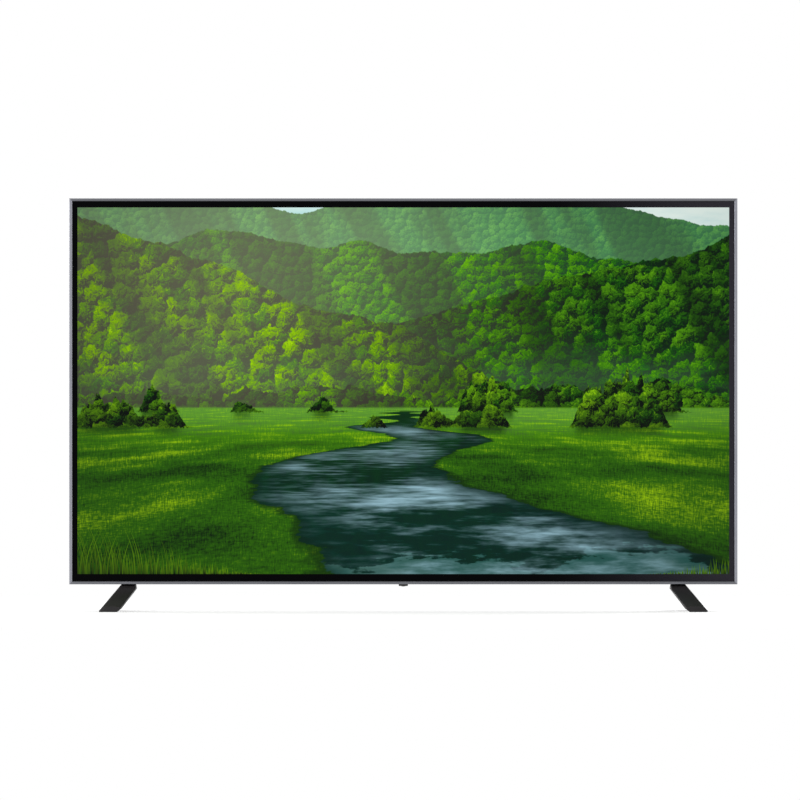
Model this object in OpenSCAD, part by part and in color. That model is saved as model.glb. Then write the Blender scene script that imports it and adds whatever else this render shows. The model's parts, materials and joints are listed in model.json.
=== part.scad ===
// Flat screen television on two splayed feet, as an assembly of its separate pieces.
// X runs along the screen, Y from the screen to the back, Z up from the table top.
// Pieces of the set itself are drawn by x, by depth behind the frame's front face and by height above the
// frame's lower edge.

/* [Screen] */
// Width of the lit picture
screen_w = 1428.5; // [1240:0.5:1700]
// Height of the lit picture
screen_h = 803.5; // [680:0.5:960]
// Black border beside the picture
border_side = 11.5; // [9:0.5:20]
// Black border above the picture
border_top = 13.5; // [9:0.5:20]
// Black border below the picture
border_bottom = 16; // [12:0.5:26]

/* [Frame] */
// Visible width of the front lip
frame_face = 6.5; // [6.4:0.1:9]
// Thickness of the front lip
lip_t = 1.6; // [1.2:0.1:2.4]
// Thickness of the side walls
frame_wall = 1.2; // [1:0.1:1.6]
// Reach of the side walls past the back pan's flange
frame_tail = 1.5; // [0.5:0.5:5]
// Arm length of the corner keys
key_arm = 40; // [20:1:80]

/* [Panel] */
// Thickness of the foam behind the lip
gasket_t = 0.8; // [0.5:0.1:1.5]
// Width of the foam behind the lip
gasket_w = 1; // [0.6:0.1:1]
// Thickness of each polariser
polariser_t = 0.2; // [0.1:0.05:0.4]
// Thickness of each sheet of glass
glass_t = 0.5; // [0.3:0.1:0.9]
// Bare ledge of the rear glass along its lower edge
glass_ledge = 1.4; // [1:0.1:1.6]
// Thickness of the middle frame's fence round the glass
fence_t = 0.8; // [0.6:0.1:1.2]
// Thickness of the driver films
driver_film_t = 0.2; // [0.1:0.05:0.3]
// Width of each driver film
driver_film_w = 32; // [16:1:48]
// Driver films on each driver board
driver_film_count = 6; // [3:1:8]
// Thickness of the driver boards
driver_board_t = 1; // [0.6:0.1:1.2]
// Depth of the driver boards
driver_board_d = 4; // [3:0.5:5]
// Distance of the driver boards from the middle of the set
driver_start = 60; // [50:1:64]
// Thickness of the flat cables
ribbon_t = 0.3; // [0.2:0.05:0.4]
// Width of the flat cables
ribbon_w = 44; // [24:1:50]

/* [Backlight] */
// Thickness of the cushion behind the glass
cushion_t = 1; // [0.5:0.1:2]
// Width of the cushion behind the glass
cushion_w = 3; // [2:0.5:6]
// Thickness of the middle frame's shelf
shelf_t = 2; // [1.5:0.1:3]
// Thickness of the prism film and of the diffuser film
film_t = 0.3; // [0.2:0.05:0.5]
// Thickness of the diffuser plate
plate_t = 2; // [1.5:0.1:3]
// Reach of the diffuser plate past the picture
plate_margin = 6; // [4:0.5:7]
// Open depth between diffuser plate and reflector
optical_gap = 21; // [14:0.5:32]
// Thickness of the reflector sheet
reflector_t = 0.3; // [0.2:0.05:0.5]
// Width of the lamp bars
bar_w = 16; // [10:1:20]
// Thickness of the lamp bars
bar_t = 1.2; // [0.8:0.1:2]
// Rows of lamp bars
led_rows = 6; // [4:1:8]
// Lamps on each bar
leds_per_bar = 5; // [3:1:8]
// Width of a lamp chip
chip_w = 3; // [2:0.1:3.4]
// Height of a lamp chip
chip_h = 0.8; // [0.5:0.1:1.2]
// Radius of a lamp lens
lens_r = 7.5; // [6:0.5:9]
// Height of a lamp lens
lens_h = 5.5; // [4:0.5:7]
// Foot radius of the diffuser supports
support_r = 5; // [3:0.5:8]

/* [Back pan] */
// Thickness of the pan's sheet steel
pan_t = 0.8; // [0.6:0.1:1.2]
// Reach of the pan's mouth past the picture
pan_margin = 1; // [0.5:0.5:2]
// Sideways run of the pan's slanted walls
pan_run = 40; // [25:1:55]
// Height of the stiffening ribs on the pan's back
rib_h = 2; // [1:0.5:4]
// Width of the stiffening ribs
rib_w = 26; // [12:1:40]
// Stiffening ribs above the rear cover
rib_count = 7; // [3:1:11]

/* [Rear cover] */
// Wall thickness of the rear cover
cover_wall = 2.5; // [2:0.1:3.5]
// Height of the cover's underside above the frame's lower edge
cover_low = 6; // [4:0.5:9]
// Width of the cover's middle block
tower_w = 900; // [860:1:960]
// Height of the cover's middle block
tower_h = 564; // [535:1:600]
// Reach of the middle block behind the pan
tower_depth = 45; // [43:1:60]
// Slope of the middle block's sides over its depth
tower_draft = 10; // [4:1:16]
// Distance of the cover's low wings from the frame's sides
wing_inset = 42; // [36:1:50]
// Height of the cover's low wings
wing_h = 124; // [120:1:140]
// Reach of the low wings behind the pan
wing_depth = 34; // [33:1:42]
// Slope of the wings' sides over their depth
wing_draft = 7; // [3:1:10]
// Depth of the plug bays in the sides of the middle block
bay_depth = 45; // [35:1:60]
// Width of the cooling slots
slot_w = 4; // [2.5:0.5:5]
// Length of the cooling slots
slot_l = 36; // [20:1:44]

/* [Boards] */
// Height of the board standoffs
standoff_h = 6; // [4:0.5:8]
// Radius of the board standoffs
standoff_r = 3; // [2.5:0.1:4]
// Thickness of the circuit boards
board_t = 1.6; // [1:0.1:2]
// Width of the main board and of the power board
board_w = 170; // [160:1:176]
// Width of the timing board
timing_w = 250; // [240:1:280]
// Height of the timing board
timing_h = 70; // [58:1:84]
// Width of the wireless board
wifi_w = 46; // [36:1:52]
// Height of the wireless board
wifi_h = 30; // [26:1:34]
// Fin height of the main heat sink
fin_h = 12; // [6:1:18]
// Width of the main heat sink
sink_w = 64; // [40:1:70]

/* [Terminals] */
// Spacing of the terminals
terminal_pitch = 24.5; // [22:0.5:26]
// Width of an HDMI socket
hdmi_w = 15; // [14.5:0.1:16]
// Height of an HDMI socket above its board
hdmi_h = 6; // [5.8:0.1:7]
// Width of a USB socket
usb_w = 14.4; // [14:0.1:15]
// Height of a USB socket above its board
usb_h = 7.2; // [6.8:0.1:8]
// Width of the network socket
network_w = 16; // [15.5:0.1:17]
// Height of the network socket above its board
network_h = 13.4; // [13:0.1:15]
// Radius of the antenna socket's barrel
antenna_r = 4.75; // [4:0.05:5]
// Reach of the antenna socket out of its wall
antenna_reach = 10; // [8:0.5:14]
// Bore radius of the audio jacks
jack_r = 1.8; // [1.75:0.05:2]
// Width of the mains inlet
inlet_w = 24; // [22:0.5:28]
// Height of the mains inlet above its board
inlet_h = 15; // [14:0.5:18]
// Spacing of the mains inlet's pins
inlet_pin_gap = 8.6; // [8:0.1:9]
// Radius of the mains inlet's pins
inlet_pin_r = 1.2; // [1:0.1:1.3]

/* [Speakers] */
// Length of a speaker box
speaker_w = 172; // [150:1:180]
// Height of a speaker box
speaker_h = 60; // [52:1:66]
// Depth of a speaker box
speaker_d = 36; // [34:1:38]
// Wall thickness of a speaker box
speaker_wall = 2; // [1.5:0.1:2.5]
// Distance of a speaker box from the middle of the set
speaker_x = 328; // [320:1:334]
// Length of a speaker cone
cone_l = 62; // [54:1:70]
// Width of a speaker cone
cone_w = 22; // [20:1:24]
// Radius of a voice coil
coil_r = 8; // [7:0.1:9]
// Travel of a cone each way from rest
cone_travel = 1.5; // [0.5:0.1:2]

/* [Stand] */
// Height of the frame's lower edge above the table
stand_h = 59.2; // [54:0.1:80]
// Length of a foot from front toe to rear toe
foot_l = 300; // [240:1:360]
// Distance of a toe's outer edge from the frame's side
foot_inset = 65; // [62:1:75]
// Width of a toe
toe_w = 43.5; // [38:0.5:48]
// Width of a foot where it meets the set
foot_top_w = 32; // [30:0.5:36]
// Sideways lean of a foot from table to set
foot_lean = 49; // [40:1:52]
// Height of a toe's tip
toe_h = 9; // [6:0.5:12]
// Length of a toe's sole
toe_l = 34; // [24:1:44]
// Height of the arch between the toes
arch_h = 42; // [34:1:45]
// Length of a foot's hub
hub_l = 44; // [40:1:48]
// Rise of a foot's hub into the rear cover
hub_rise = 16; // [14:0.5:18]
// Distance from the pan's back to the middle of the feet
hub_back = 7.3; // [5:0.1:9]
// Thickness of the rubber pads
pad_t = 2; // [1:0.5:3]
// Thickness of the foot brackets
bracket_t = 2.5; // [2:0.1:3]
// Height of the foot brackets
bracket_h = 96; // [90:1:100]
// Radius of the foot bolts
bolt_r = 2.5; // [2:0.1:3]

/* [Power key] */
// Width of the sensor housing
sensor_w = 20.2; // [18:0.1:24]
// Depth of the sensor housing
sensor_d = 22; // [20:0.5:26]
// Reach of the sensor housing below the frame
sensor_drop = 4; // [3:0.1:6]
// Wall thickness of the sensor housing
sensor_wall = 1.2; // [1:0.1:1.5]
// Radius of the power key
power_key_r = 4.2; // [3.5:0.1:4.4]
// Reach of the power key below its housing
key_reach = 1; // [0.8:0.1:2]
// Travel of the power key
key_travel = 0.5; // [0.3:0.05:0.8]

/* [Wall mount] */
// Sideways spacing of the wall mount holes
vesa_w = 400; // [396:1:404]
// Upright spacing of the wall mount holes
vesa_h = 200; // [196:1:204]
// Height of the lower wall mount holes above the frame's lower edge
vesa_low = 300; // [290:1:310]
// Radius of the wall mount posts
post_r = 9; // [7:0.5:10]
// Bore radius of the wall mount posts
post_bore_r = 2.5; // [2:0.1:3]
// Bore depth of the wall mount posts
post_bore_d = 25; // [15:1:35]

/* [Fasteners] */
// Radius of the frame screws
frame_screw_r = 1.2; // [1:0.05:1.4]
// Head radius of the frame screws
frame_head_r = 2.2; // [1.8:0.1:2.6]
// Radius of the board screws
board_screw_r = 1.4; // [1.2:0.1:1.6]
// Radius of the cover screws and the bracket screws
cover_screw_r = 1.9; // [1.5:0.1:2.2]
// Head radius of the cover screws and the bracket screws
cover_head_r = 3.6; // [3:0.1:4]

/* [Fit] */
// Gap between pieces that slot together
fit_gap = 0.3; // [0.2:0.05:0.4]
// Radial gap of a screw in its hole
screw_gap = 0.1; // [0.05:0.05:0.3]
// Gap between the frame and the back pan's skirt
skirt_gap = 0.2; // [0.1:0.05:0.4]

/* [Hidden] */
$fn = 48;

// Reach of a cut past the face that it opens
over = 1;

// Rectangles across the set, as [left, right, low, high]
outer_w = screen_w + 2 * (border_side + frame_face);
outer_h = screen_h + border_bottom + border_top + 2 * frame_face;
outer_half = outer_w / 2;
outer = [-outer_half, outer_half, 0, outer_h];
picture_low = frame_face + border_bottom;
picture = [-screen_w / 2, screen_w / 2, picture_low, picture_low + screen_h];
mouth = inset(outer, frame_face);
skirt_in = frame_wall + skirt_gap + pan_t;
middle_in = skirt_in + fit_gap;
cell = inset(outer, middle_in + fence_t + fit_gap);
film_drop = 0.6;
film_low = skirt_in + film_drop;
driver_low = film_low + driver_film_t;
driver_high = driver_low + driver_board_t;
middle_low = driver_high + ribbon_t + 2 * fit_gap;
middle = raise_low(inset(outer, middle_in), middle_low - middle_in);
front_cell = raise_low(cell, glass_ledge);
plate_rect = inset(picture, -plate_margin);
film_rect = inset(plate_rect, 1.5);
shelf_reach = 1.5;
pan_mouth = inset(picture, -pan_margin);

// Depths of the layers behind the frame's front face
gasket_back = lip_t + gasket_t;
front_polariser_back = gasket_back + polariser_t;
front_glass_back = front_polariser_back + glass_t;
rear_glass_back = front_glass_back + glass_t;
rear_polariser_back = rear_glass_back + polariser_t;
cushion_back = rear_polariser_back + cushion_t;
shelf_back = cushion_back + shelf_t;
prism_back = shelf_back + film_t;
diffuser_film_back = prism_back + film_t;
plate_back = diffuser_film_back + plate_t;
flange_front = plate_back + reflector_t;
flange_back = flange_front + pan_t;
frame_depth = flange_back + frame_tail;
reflector_front = plate_back + optical_gap;
bar_front = reflector_front + reflector_t;
floor_front = bar_front + bar_t;
pan_back = floor_front + pan_t;
board_front = pan_back + standoff_h;
board_back = board_front + board_t;
skirt_front = gasket_back + 2 * fit_gap;
skirt_middle = (skirt_front + flange_front) / 2;

// Frame joints and screws
mitre = frame_face + 2;
frame_screw_l = skirt_in + 1;
frame_head_h = frame_head_r - frame_screw_r;
side_screw_shares = [0.18, 0.5, 0.82];
top_screw_shares = [-0.4, -0.2, 0, 0.2, 0.4];
bottom_screw_places = [driver_start - 26, outer_half - 70];

// Slanted walls of the back pan and the reflector
pan_slope = pan_run / (floor_front - flange_front);
slant = sqrt(1 + pan_slope * pan_slope);
pan_side = pan_t * slant;
reflector_side = reflector_t * slant;
reflector_gap = fit_gap * slant;
floor_rect = pan_wall(pan_back, 0);

// Lamp bars, two to a row
bar_end = 20;
bar_gap = 10;
bar_l = (floor_rect[1] - floor_rect[0] - 2 * bar_end - bar_gap) / 2;
led_pitch = bar_l / leds_per_bar;
row_pitch = (floor_rect[3] - floor_rect[2]) / led_rows;
chip_pocket_r = chip_w * 0.71 + fit_gap;
chip_pocket_h = chip_h + fit_gap;
lens_crown = (lens_r * lens_r + lens_h * lens_h) / (2 * lens_h);
support_columns = 4;
support_column_pitch = (floor_rect[1] - floor_rect[0]) / support_columns;
support_tip_r = support_r * 0.3;
stud_r = support_r * 0.4;

// Driver boards in the frame's lower rail and their flat cables
driver_front = rear_polariser_back + 1.4;
driver_bond = driver_front + driver_board_d - 1.5;
driver_end = outer_half - 132;
driver_film_pitch = (driver_end - driver_start) / driver_film_count;
ribbon_x = driver_start + 30;
ribbon_rise = flange_back + 2 * fit_gap;
ribbon_off = 1.6;
ribbon_slot_side = 1;
ribbon_slot_gap = 0.4;

// Rear cover
cover_front = frame_depth + 0.5;
wing_rect = [-outer_half + wing_inset, outer_half - wing_inset, cover_low, cover_low + wing_h];
tower_rect = [-tower_w / 2, tower_w / 2, cover_low, cover_low + tower_h];
wing_back = pan_back + wing_depth;
tower_back = pan_back + tower_depth;
cover_floor = cover_low + cover_wall;
boss_r = cover_head_r + 3;
boss_land = 4;
cover_screw_tip = pan_t + 0.5;
cover_head_h = 2.4;
tower_screw_in = 26;
wing_screw_in = 32;
cover_screw_low = cover_low + wing_h - 24;
cover_screw_high = cover_low + tower_h - tower_screw_in;
cover_screw_places = [
    [-tower_w / 2 + tower_screw_in, cover_screw_high, tower_back],
    [0, cover_screw_high, tower_back],
    [tower_w / 2 - tower_screw_in, cover_screw_high, tower_back],
    [wing_rect[0] + wing_screw_in, cover_screw_low, wing_back],
    [tower_rect[0] - tower_screw_in, cover_screw_low, wing_back],
    [tower_rect[1] + tower_screw_in, cover_screw_low, wing_back],
    [wing_rect[1] - wing_screw_in, cover_screw_low, wing_back]
];

// Boards and terminals
bay_x = tower_w / 2 - bay_depth;
board_edge = bay_x - cover_wall - 1.5;
terminal_end = 20;
board_low = cover_low + wing_h + 68;
board_h = 8 * terminal_pitch + 2 * terminal_end;
board_high = board_low + board_h;
bay_over = 8;
bay_low = board_low - bay_over;
bay_high = board_high + bay_over;
main_rect = [board_edge - board_w, board_edge, board_low, board_high];
power_rect = [-board_edge, -board_edge + board_w, board_low, board_high];
timing_low = board_low;
timing_rect = [-timing_w / 2, timing_w / 2, timing_low, timing_low + timing_h];
wifi_x = tower_w / 2 + 80;
wifi_low = cover_screw_low - wifi_h / 2;
wifi_rect = [wifi_x - wifi_w / 2, wifi_x + wifi_w / 2, wifi_low, wifi_low + wifi_h];
screw_in = 6;
board_rects = [main_rect, power_rect, timing_rect, wifi_rect];
hdmi_l = 12;
usb_l = 14;
network_l = 21;
jack_l = 14;
jack_w = 9;
jack_h = 8;
tuner_l = 34;
tuner_w = 18;
tuner_h = 14;
antenna_up = 8.5;
socket_wall = 0.6;
inlet_l = 20;
inlet_recess = 11;
inlet_height = board_low + 34;
inlet_bay = 60;
inlet_cavity_w = inlet_pin_gap + 9;
inlet_cavity_h = 9;
header_l = 12;
header_h = 7;
header_side = 2;
flat_header_h = 3;
flat_header_d = 7;
cable_level = board_back + flat_header_h / 2;
harness_w = 24;
harness_t = 2;
harness_height = board_high - 30;
main_ribbon_w = 30;
main_ribbon_low = board_low + 14;
jack_up = jack_h / 2;
jack_depth = 12;
network_mouth_w = 12;
network_mouth_h = 8;
network_mouth_l = 14;
network_sole = 1.6;
antenna_collar_r = antenna_r + 1.2;
vent_x = tower_w / 2 - 122;
vent_pitch = 3 * slot_w;
vent_count = 14;
vent_low = bay_high + 22;
vent_in = 8;

// Speakers
speaker_low = cover_floor + 1;
speaker_front = pan_back + 4;
speaker_mid = speaker_front + speaker_d / 2;
ear_l = 16;
ear_t = 4;
ear_h = 18;
ear_height = speaker_low + speaker_h - ear_h / 2;
ear_front = speaker_front + 8;
ear_x = speaker_w / 2 + ear_l / 2;
flange_t = 2;
flange_reach = 5;
basket_low = speaker_low + speaker_wall;
cone_low = basket_low + 0.6;
cone_t = 1;
plate_low = basket_low + flange_t + cone_travel + 8.5;
top_plate_t = 3;
magnet_h = 8;
yoke_t = 3;
magnet_r = coil_r + 6;
coil_t = 0.6;
coil_gap = 0.5;

// Stand
hub_depth = pan_back + hub_back;
front_y = -hub_depth;
hub_w = foot_top_w - 3;
hub_x = outer_half - foot_inset - foot_lean - foot_top_w / 2;
knee_h = 10;
knee_out = 1.3;
bolt_x = hub_x + 3;
bolt_y = 13;
bolt_head_r = bolt_r + 2;
bolt_head_h = 4;
bolt_land = 12;
bolt_l = bolt_land + bracket_t + 6;
leg_top_half = hub_l / 2 + 4;
arch_half = 18;
pad_in = 1.2;
bracket_low = hub_rise;
bracket_w = hub_w + 12;
bracket_screw_x = bracket_w / 2 - 6;
bracket_screw_downs = [24, 8];

// Power key and sensor
sensor_front = frame_depth + 4;
sensor_mid = sensor_front + sensor_d / 2;
neck_in = 1;
neck_side = 3.2;
neck_top = cover_floor + 5.5;
sensor_floor = -sensor_drop + sensor_wall;
collar_r = power_key_r + 0.9;
collar_t = 1.2;
stem_r = 1.6;
switch_w = 6;
switch_h = 3.4;
plunger_r = 1.7;
plunger_in = 0.8;
receiver_w = 6;
receiver_d = 2.6;
receiver_h = 5;
receiver_front = sensor_front + neck_in + sensor_wall + fit_gap;

// Wall mount
post_foot_r = post_r + 6;
post_foot_t = 2;
vesa_places = [for (x = [-1, 1], h = [0, 1]) [x * vesa_w / 2, vesa_low + h * vesa_h]];

function inset(r, d) = [r[0] + d, r[1] - d, r[2] + d, r[3] - d];
function raise_low(r, d) = [r[0], r[1], r[2] + d, r[3]];

// The pan's inner wall at depth t, moved outwards by off
function pan_wall(t, off) = inset(pan_mouth, (t - flange_front) * pan_slope - off);

// Corners of a strip of width w along a bent line
function direction(a, b) = (b - a) / norm(b - a);
function left_of(a, b) = let (d = direction(a, b)) [-d[1], d[0]];
function corner(p, i) =
    i == 0 ? left_of(p[0], p[1]) :
    i == len(p) - 1 ? left_of(p[i - 1], p[i]) :
    let (n = left_of(p[i - 1], p[i]), m = left_of(p[i], p[i + 1])) (n + m) / (1 + n * m);
function strip(p, w) = concat(
    [for (i = [0 : len(p) - 1]) p[i] + corner(p, i) * w / 2],
    [for (i = [len(p) - 1 : -1 : 0]) p[i] - corner(p, i) * w / 2]
);

// Places a piece of the set, drawn from the frame's lower front edge
module in_set() {
    translate([0, front_y, stand_h]) children();
}

module block(x, t, h) {
    translate([x[0], t[0], h[0]]) cube([x[1] - x[0], t[1] - t[0], h[1] - h[0]]);
}

// A flat sheet that fills a rectangle between two depths
module sheet(r, t0, t1) {
    block([r[0], r[1]], [t0, t1], [r[2], r[3]]);
}

module ring(r, hole, t0, t1) {
    difference() {
        sheet(r, t0, t1);
        sheet(hole, t0 - over, t1 + over);
    }
}

// A block that tapers from one rectangle to another
module tapered(r0, t0, r1, t1) {
    corners = [
        for (e = [[r0, t0], [r1, t1]])
            each [
                [e[0][0], e[1], e[0][2]], [e[0][1], e[1], e[0][2]],
                [e[0][1], e[1], e[0][3]], [e[0][0], e[1], e[0][3]]
            ]
    ];
    sides = [for (i = [0 : 3]) [i, (i + 1) % 4, (i + 1) % 4 + 4, i + 4]];
    polyhedron(corners, concat([[0, 3, 2, 1], [4, 5, 6, 7]], sides));
}

module rod_x(t, h, r, x) {
    translate([x[0], t, h]) rotate([0, 90, 0]) cylinder(r = r, h = x[1] - x[0]);
}

module rod_y(x, h, r, t) {
    translate([x, t[0], h]) rotate([-90, 0, 0]) cylinder(r = r, h = t[1] - t[0]);
}

module rod_z(x, t, r, h) {
    translate([x, t, h[0]]) cylinder(r = r, h = h[1] - h[0]);
}

// Extrudes an outline of (depth, height) along X
module along_x(x) {
    translate([x[0], 0, 0]) rotate([90, 0, 90]) linear_extrude(x[1] - x[0]) children();
}

// Extrudes an outline of (x, height) along the depth
module along_y(t) {
    translate([0, t[1], 0]) rotate([90, 0, 0]) linear_extrude(t[1] - t[0]) children();
}

module racetrack(l, w) {
    square([l - w, w], center = true);
    for (s = [-1, 1]) translate([s * (l - w) / 2, 0]) circle(d = w);
}

// Frame
module frame_ring() {
    ring(outer, mouth, 0, lip_t);
    ring(outer, inset(outer, frame_wall), 0, frame_depth);
}

// Puts each child on a frame screw's axis, with its Z pointing into the frame
module at_side_screws(side) {
    for (share = side_screw_shares)
        translate([side * outer_half, skirt_middle, outer_h * share]) rotate([0, -90 * side, 0]) children();
}

module at_top_screws() {
    for (share = top_screw_shares)
        translate([outer_w * share, skirt_middle, outer_h]) rotate([180, 0, 0]) children();
}

module at_bottom_screws() {
    for (side = [-1, 1], x = bottom_screw_places)
        translate([side * x, skirt_middle, 0]) children();
}

module at_frame_screws() {
    at_side_screws(-1) children();
    at_side_screws(1) children();
    at_top_screws() children();
    at_bottom_screws() children();
}

module frame_screw(grow) {
    cylinder(r1 = frame_head_r + grow, r2 = frame_screw_r + grow, h = frame_head_h);
    cylinder(r = frame_screw_r + grow, h = frame_screw_l);
}

module frame_rail(corners) {
    color([0.56, 0.57, 0.59]) in_set() difference() {
        intersection() {
            frame_ring();
            along_y([-over, frame_depth + over]) polygon(corners);
        }
        at_frame_screws() frame_screw(screw_gap);
    }
}

// Outlines of the rails seen from the front, cut off square to the mitres
module frame_bottom_rail() {
    frame_rail([[outer[0], 0], [outer[1], 0], [outer[1] - mitre, mitre], [outer[0] + mitre, mitre]]);
}

module frame_top_rail() {
    low = outer_h - mitre;
    frame_rail([[outer[0], outer_h], [outer[1], outer_h], [outer[1] - mitre, low], [outer[0] + mitre, low]]);
}

module upright_rail(edge, inner) {
    frame_rail([[edge, 0], [edge, outer_h], [inner, outer_h - mitre], [inner, mitre]]);
}

module frame_left_rail() {
    upright_rail(outer[0], outer[0] + mitre);
}

module frame_right_rail() {
    upright_rail(outer[1], outer[1] - mitre);
}

module frame_corner_keys() {
    key_in = frame_wall + screw_gap;
    key_edge = frame_face - gasket_w - fit_gap;
    middle_x = [outer[0] + key_arm, outer[1] - key_arm];
    middle_h = [key_arm, outer_h - key_arm];
    color("slategray") in_set() difference() {
        ring(inset(outer, key_in), inset(outer, key_edge), lip_t, gasket_back);
        block(middle_x, [0, frame_depth], [-over, outer_h + over]);
        block([outer[0] - over, outer[1] + over], [0, frame_depth], middle_h);
    }
}

module frame_screws() {
    color("silver") in_set() at_frame_screws() frame_screw(0);
}

// Screen panel
module front_gasket() {
    color("dimgray") in_set()
        ring(inset(mouth, -gasket_w - screw_gap), inset(mouth, -screw_gap), lip_t, gasket_back);
}

module front_polariser() {
    color([0.03, 0.03, 0.04]) in_set() sheet(inset(front_cell, skirt_gap), gasket_back, front_polariser_back);
}

module colour_filter_glass() {
    color([0.1, 0.12, 0.12]) in_set() sheet(front_cell, front_polariser_back, front_glass_back);
}

module array_glass() {
    color([0.12, 0.14, 0.14]) in_set() sheet(cell, front_glass_back, rear_glass_back);
}

module rear_polariser() {
    edge_in = 0.8;
    color([0.05, 0.05, 0.06]) in_set() sheet(inset(cell, edge_in), rear_glass_back, rear_polariser_back);
}

module driver_films() {
    film_front = front_glass_back - driver_film_t;
    bond_high = front_cell[2] - screw_gap;
    profile = [
        [film_front, film_low], [driver_bond, film_low], [driver_bond, driver_low],
        [front_glass_back, driver_low], [front_glass_back, bond_high], [film_front, bond_high]
    ];
    color("peru") in_set() for (side = [-1, 1], i = [0 : driver_film_count - 1]) {
        x = side * (driver_start + (i + 0.5) * driver_film_pitch);
        along_x([x - driver_film_w / 2, x + driver_film_w / 2]) polygon(profile);
    }
}

module driver_boards() {
    color("darkgreen") in_set() for (side = [-1, 1]) {
        ends = side > 0 ? [driver_start, driver_end] : [-driver_end, -driver_start];
        block(ends, [driver_front, driver_front + driver_board_d], [driver_low, driver_high]);
    }
}

// Height of the pan's lower slanted wall at depth t, and off below it
function pan_low(t, off) = pan_wall(t, pan_side)[2] - off;

module driver_ribbons() {
    ribbon_h = driver_high + ribbon_t / 2;
    up = pan_back + 2 * fit_gap;
    bend = [timing_low - 14, timing_low - 5];
    route = [
        [driver_bond, ribbon_h], [ribbon_rise, ribbon_h],
        [ribbon_rise, pan_low(ribbon_rise, ribbon_off)], [up, pan_low(up, ribbon_off)],
        [up, bend[0]], [cable_level, bend[1]], [cable_level, timing_low + header_side]
    ];
    color("white") in_set() for (side = [-1, 1]) {
        x = side * ribbon_x;
        along_x([x - ribbon_w / 2, x + ribbon_w / 2]) polygon(strip(route, ribbon_t));
    }
}

// Backlight
module panel_cushion() {
    cushion = inset(cell, middle_low - cell[2] + screw_gap);
    color("black") in_set() ring(cushion, inset(cushion, cushion_w), rear_polariser_back, cushion_back);
}

module middle_frame() {
    fence_hole = [middle[0] + fence_t, middle[1] - fence_t, -over, middle[3] - fence_t];
    color([0.08, 0.08, 0.08]) in_set() difference() {
        union() {
            ring(middle, fence_hole, skirt_front, cushion_back);
            ring(middle, inset(picture, -shelf_reach), cushion_back, shelf_back);
            ring(middle, inset(plate_rect, -fit_gap), shelf_back, flange_front);
        }
        at_frame_screws() cylinder(r = frame_screw_r + fit_gap, h = frame_screw_l + 1);
    }
}

module prism_film() {
    color("whitesmoke") in_set() sheet(film_rect, shelf_back, prism_back);
}

module diffuser_film() {
    color("white") in_set() sheet(film_rect, prism_back, diffuser_film_back);
}

module diffuser_plate() {
    color("ivory") in_set() sheet(plate_rect, diffuser_film_back, plate_back);
}

module at_supports() {
    for (i = [0 : support_columns - 1], row = [1 : 2 : led_rows - 1])
        translate([
            floor_rect[0] + (i + 0.5) * support_column_pitch, reflector_front, floor_rect[2] + row * row_pitch
        ]) rotate([90, 0, 0]) children();
}

module diffuser_supports() {
    color("lightcyan") in_set() at_supports() {
        cylinder(r1 = support_r, r2 = support_tip_r, h = optical_gap);
        translate([0, 0, reflector_front - pan_back]) cylinder(r = stud_r, h = pan_back - reflector_front);
    }
}

// Puts each child on a lamp's axis, with its Z pointing to the screen
module at_lamps() {
    for (side = [-1, 1], row = [0 : led_rows - 1], i = [0 : leds_per_bar - 1])
        translate([
            side * (bar_gap / 2 + (i + 0.5) * led_pitch), bar_front, floor_rect[2] + (row + 0.5) * row_pitch
        ]) rotate([90, 0, 0]) children();
}

module reflector_sheet() {
    rim_in = 1;
    rim = inset(plate_rect, rim_in);
    off = -reflector_gap;
    color("white") in_set() difference() {
        union() {
            sheet(rim, plate_back, flange_front);
            tapered(pan_wall(plate_back, off), plate_back, pan_wall(bar_front, off), bar_front);
        }
        tapered(
            pan_wall(plate_back - over, off - reflector_side), plate_back - over,
            pan_wall(reflector_front, off - reflector_side), reflector_front
        );
        at_lamps() translate([0, 0, -over]) cylinder(r = lens_r + fit_gap, h = reflector_t + 2 * over);
        at_supports() translate([0, 0, -over]) cylinder(r = stud_r + screw_gap, h = 2 * over);
    }
}

module led_bars() {
    color("whitesmoke") in_set() for (side = [-1, 1], row = [0 : led_rows - 1]) {
        h = floor_rect[2] + (row + 0.5) * row_pitch;
        ends = side > 0 ? [bar_gap / 2, bar_gap / 2 + bar_l] : [-bar_gap / 2 - bar_l, -bar_gap / 2];
        block(ends, [bar_front, floor_front], [h - bar_w / 2, h + bar_w / 2]);
    }
}

module led_chips() {
    color("gold") in_set() at_lamps() translate([-chip_w / 2, -chip_w / 2, 0]) cube([chip_w, chip_w, chip_h]);
}

module led_lenses() {
    color("lightblue") in_set() at_lamps() difference() {
        intersection() {
            cylinder(r = lens_r, h = lens_h);
            translate([0, 0, lens_h - lens_crown]) sphere(r = lens_crown);
        }
        translate([0, 0, -over]) cylinder(r = chip_pocket_r, h = chip_pocket_h + over);
    }
}

// Back pan
module pan_ribs() {
    above_cover = 40;
    below_edge = 30;
    side_in = 60;
    low = cover_low + tower_h + above_cover;
    high = floor_rect[3] - below_edge;
    pitch = (floor_rect[1] - floor_rect[0] - 2 * side_in) / rib_count;
    for (i = [0 : rib_count - 1]) {
        x = (i - (rib_count - 1) / 2) * pitch;
        foot = [x - rib_w / 2, x + rib_w / 2, low, high];
        tapered(foot, pan_back, inset(foot, rib_h), pan_back + rib_h);
    }
}

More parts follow.
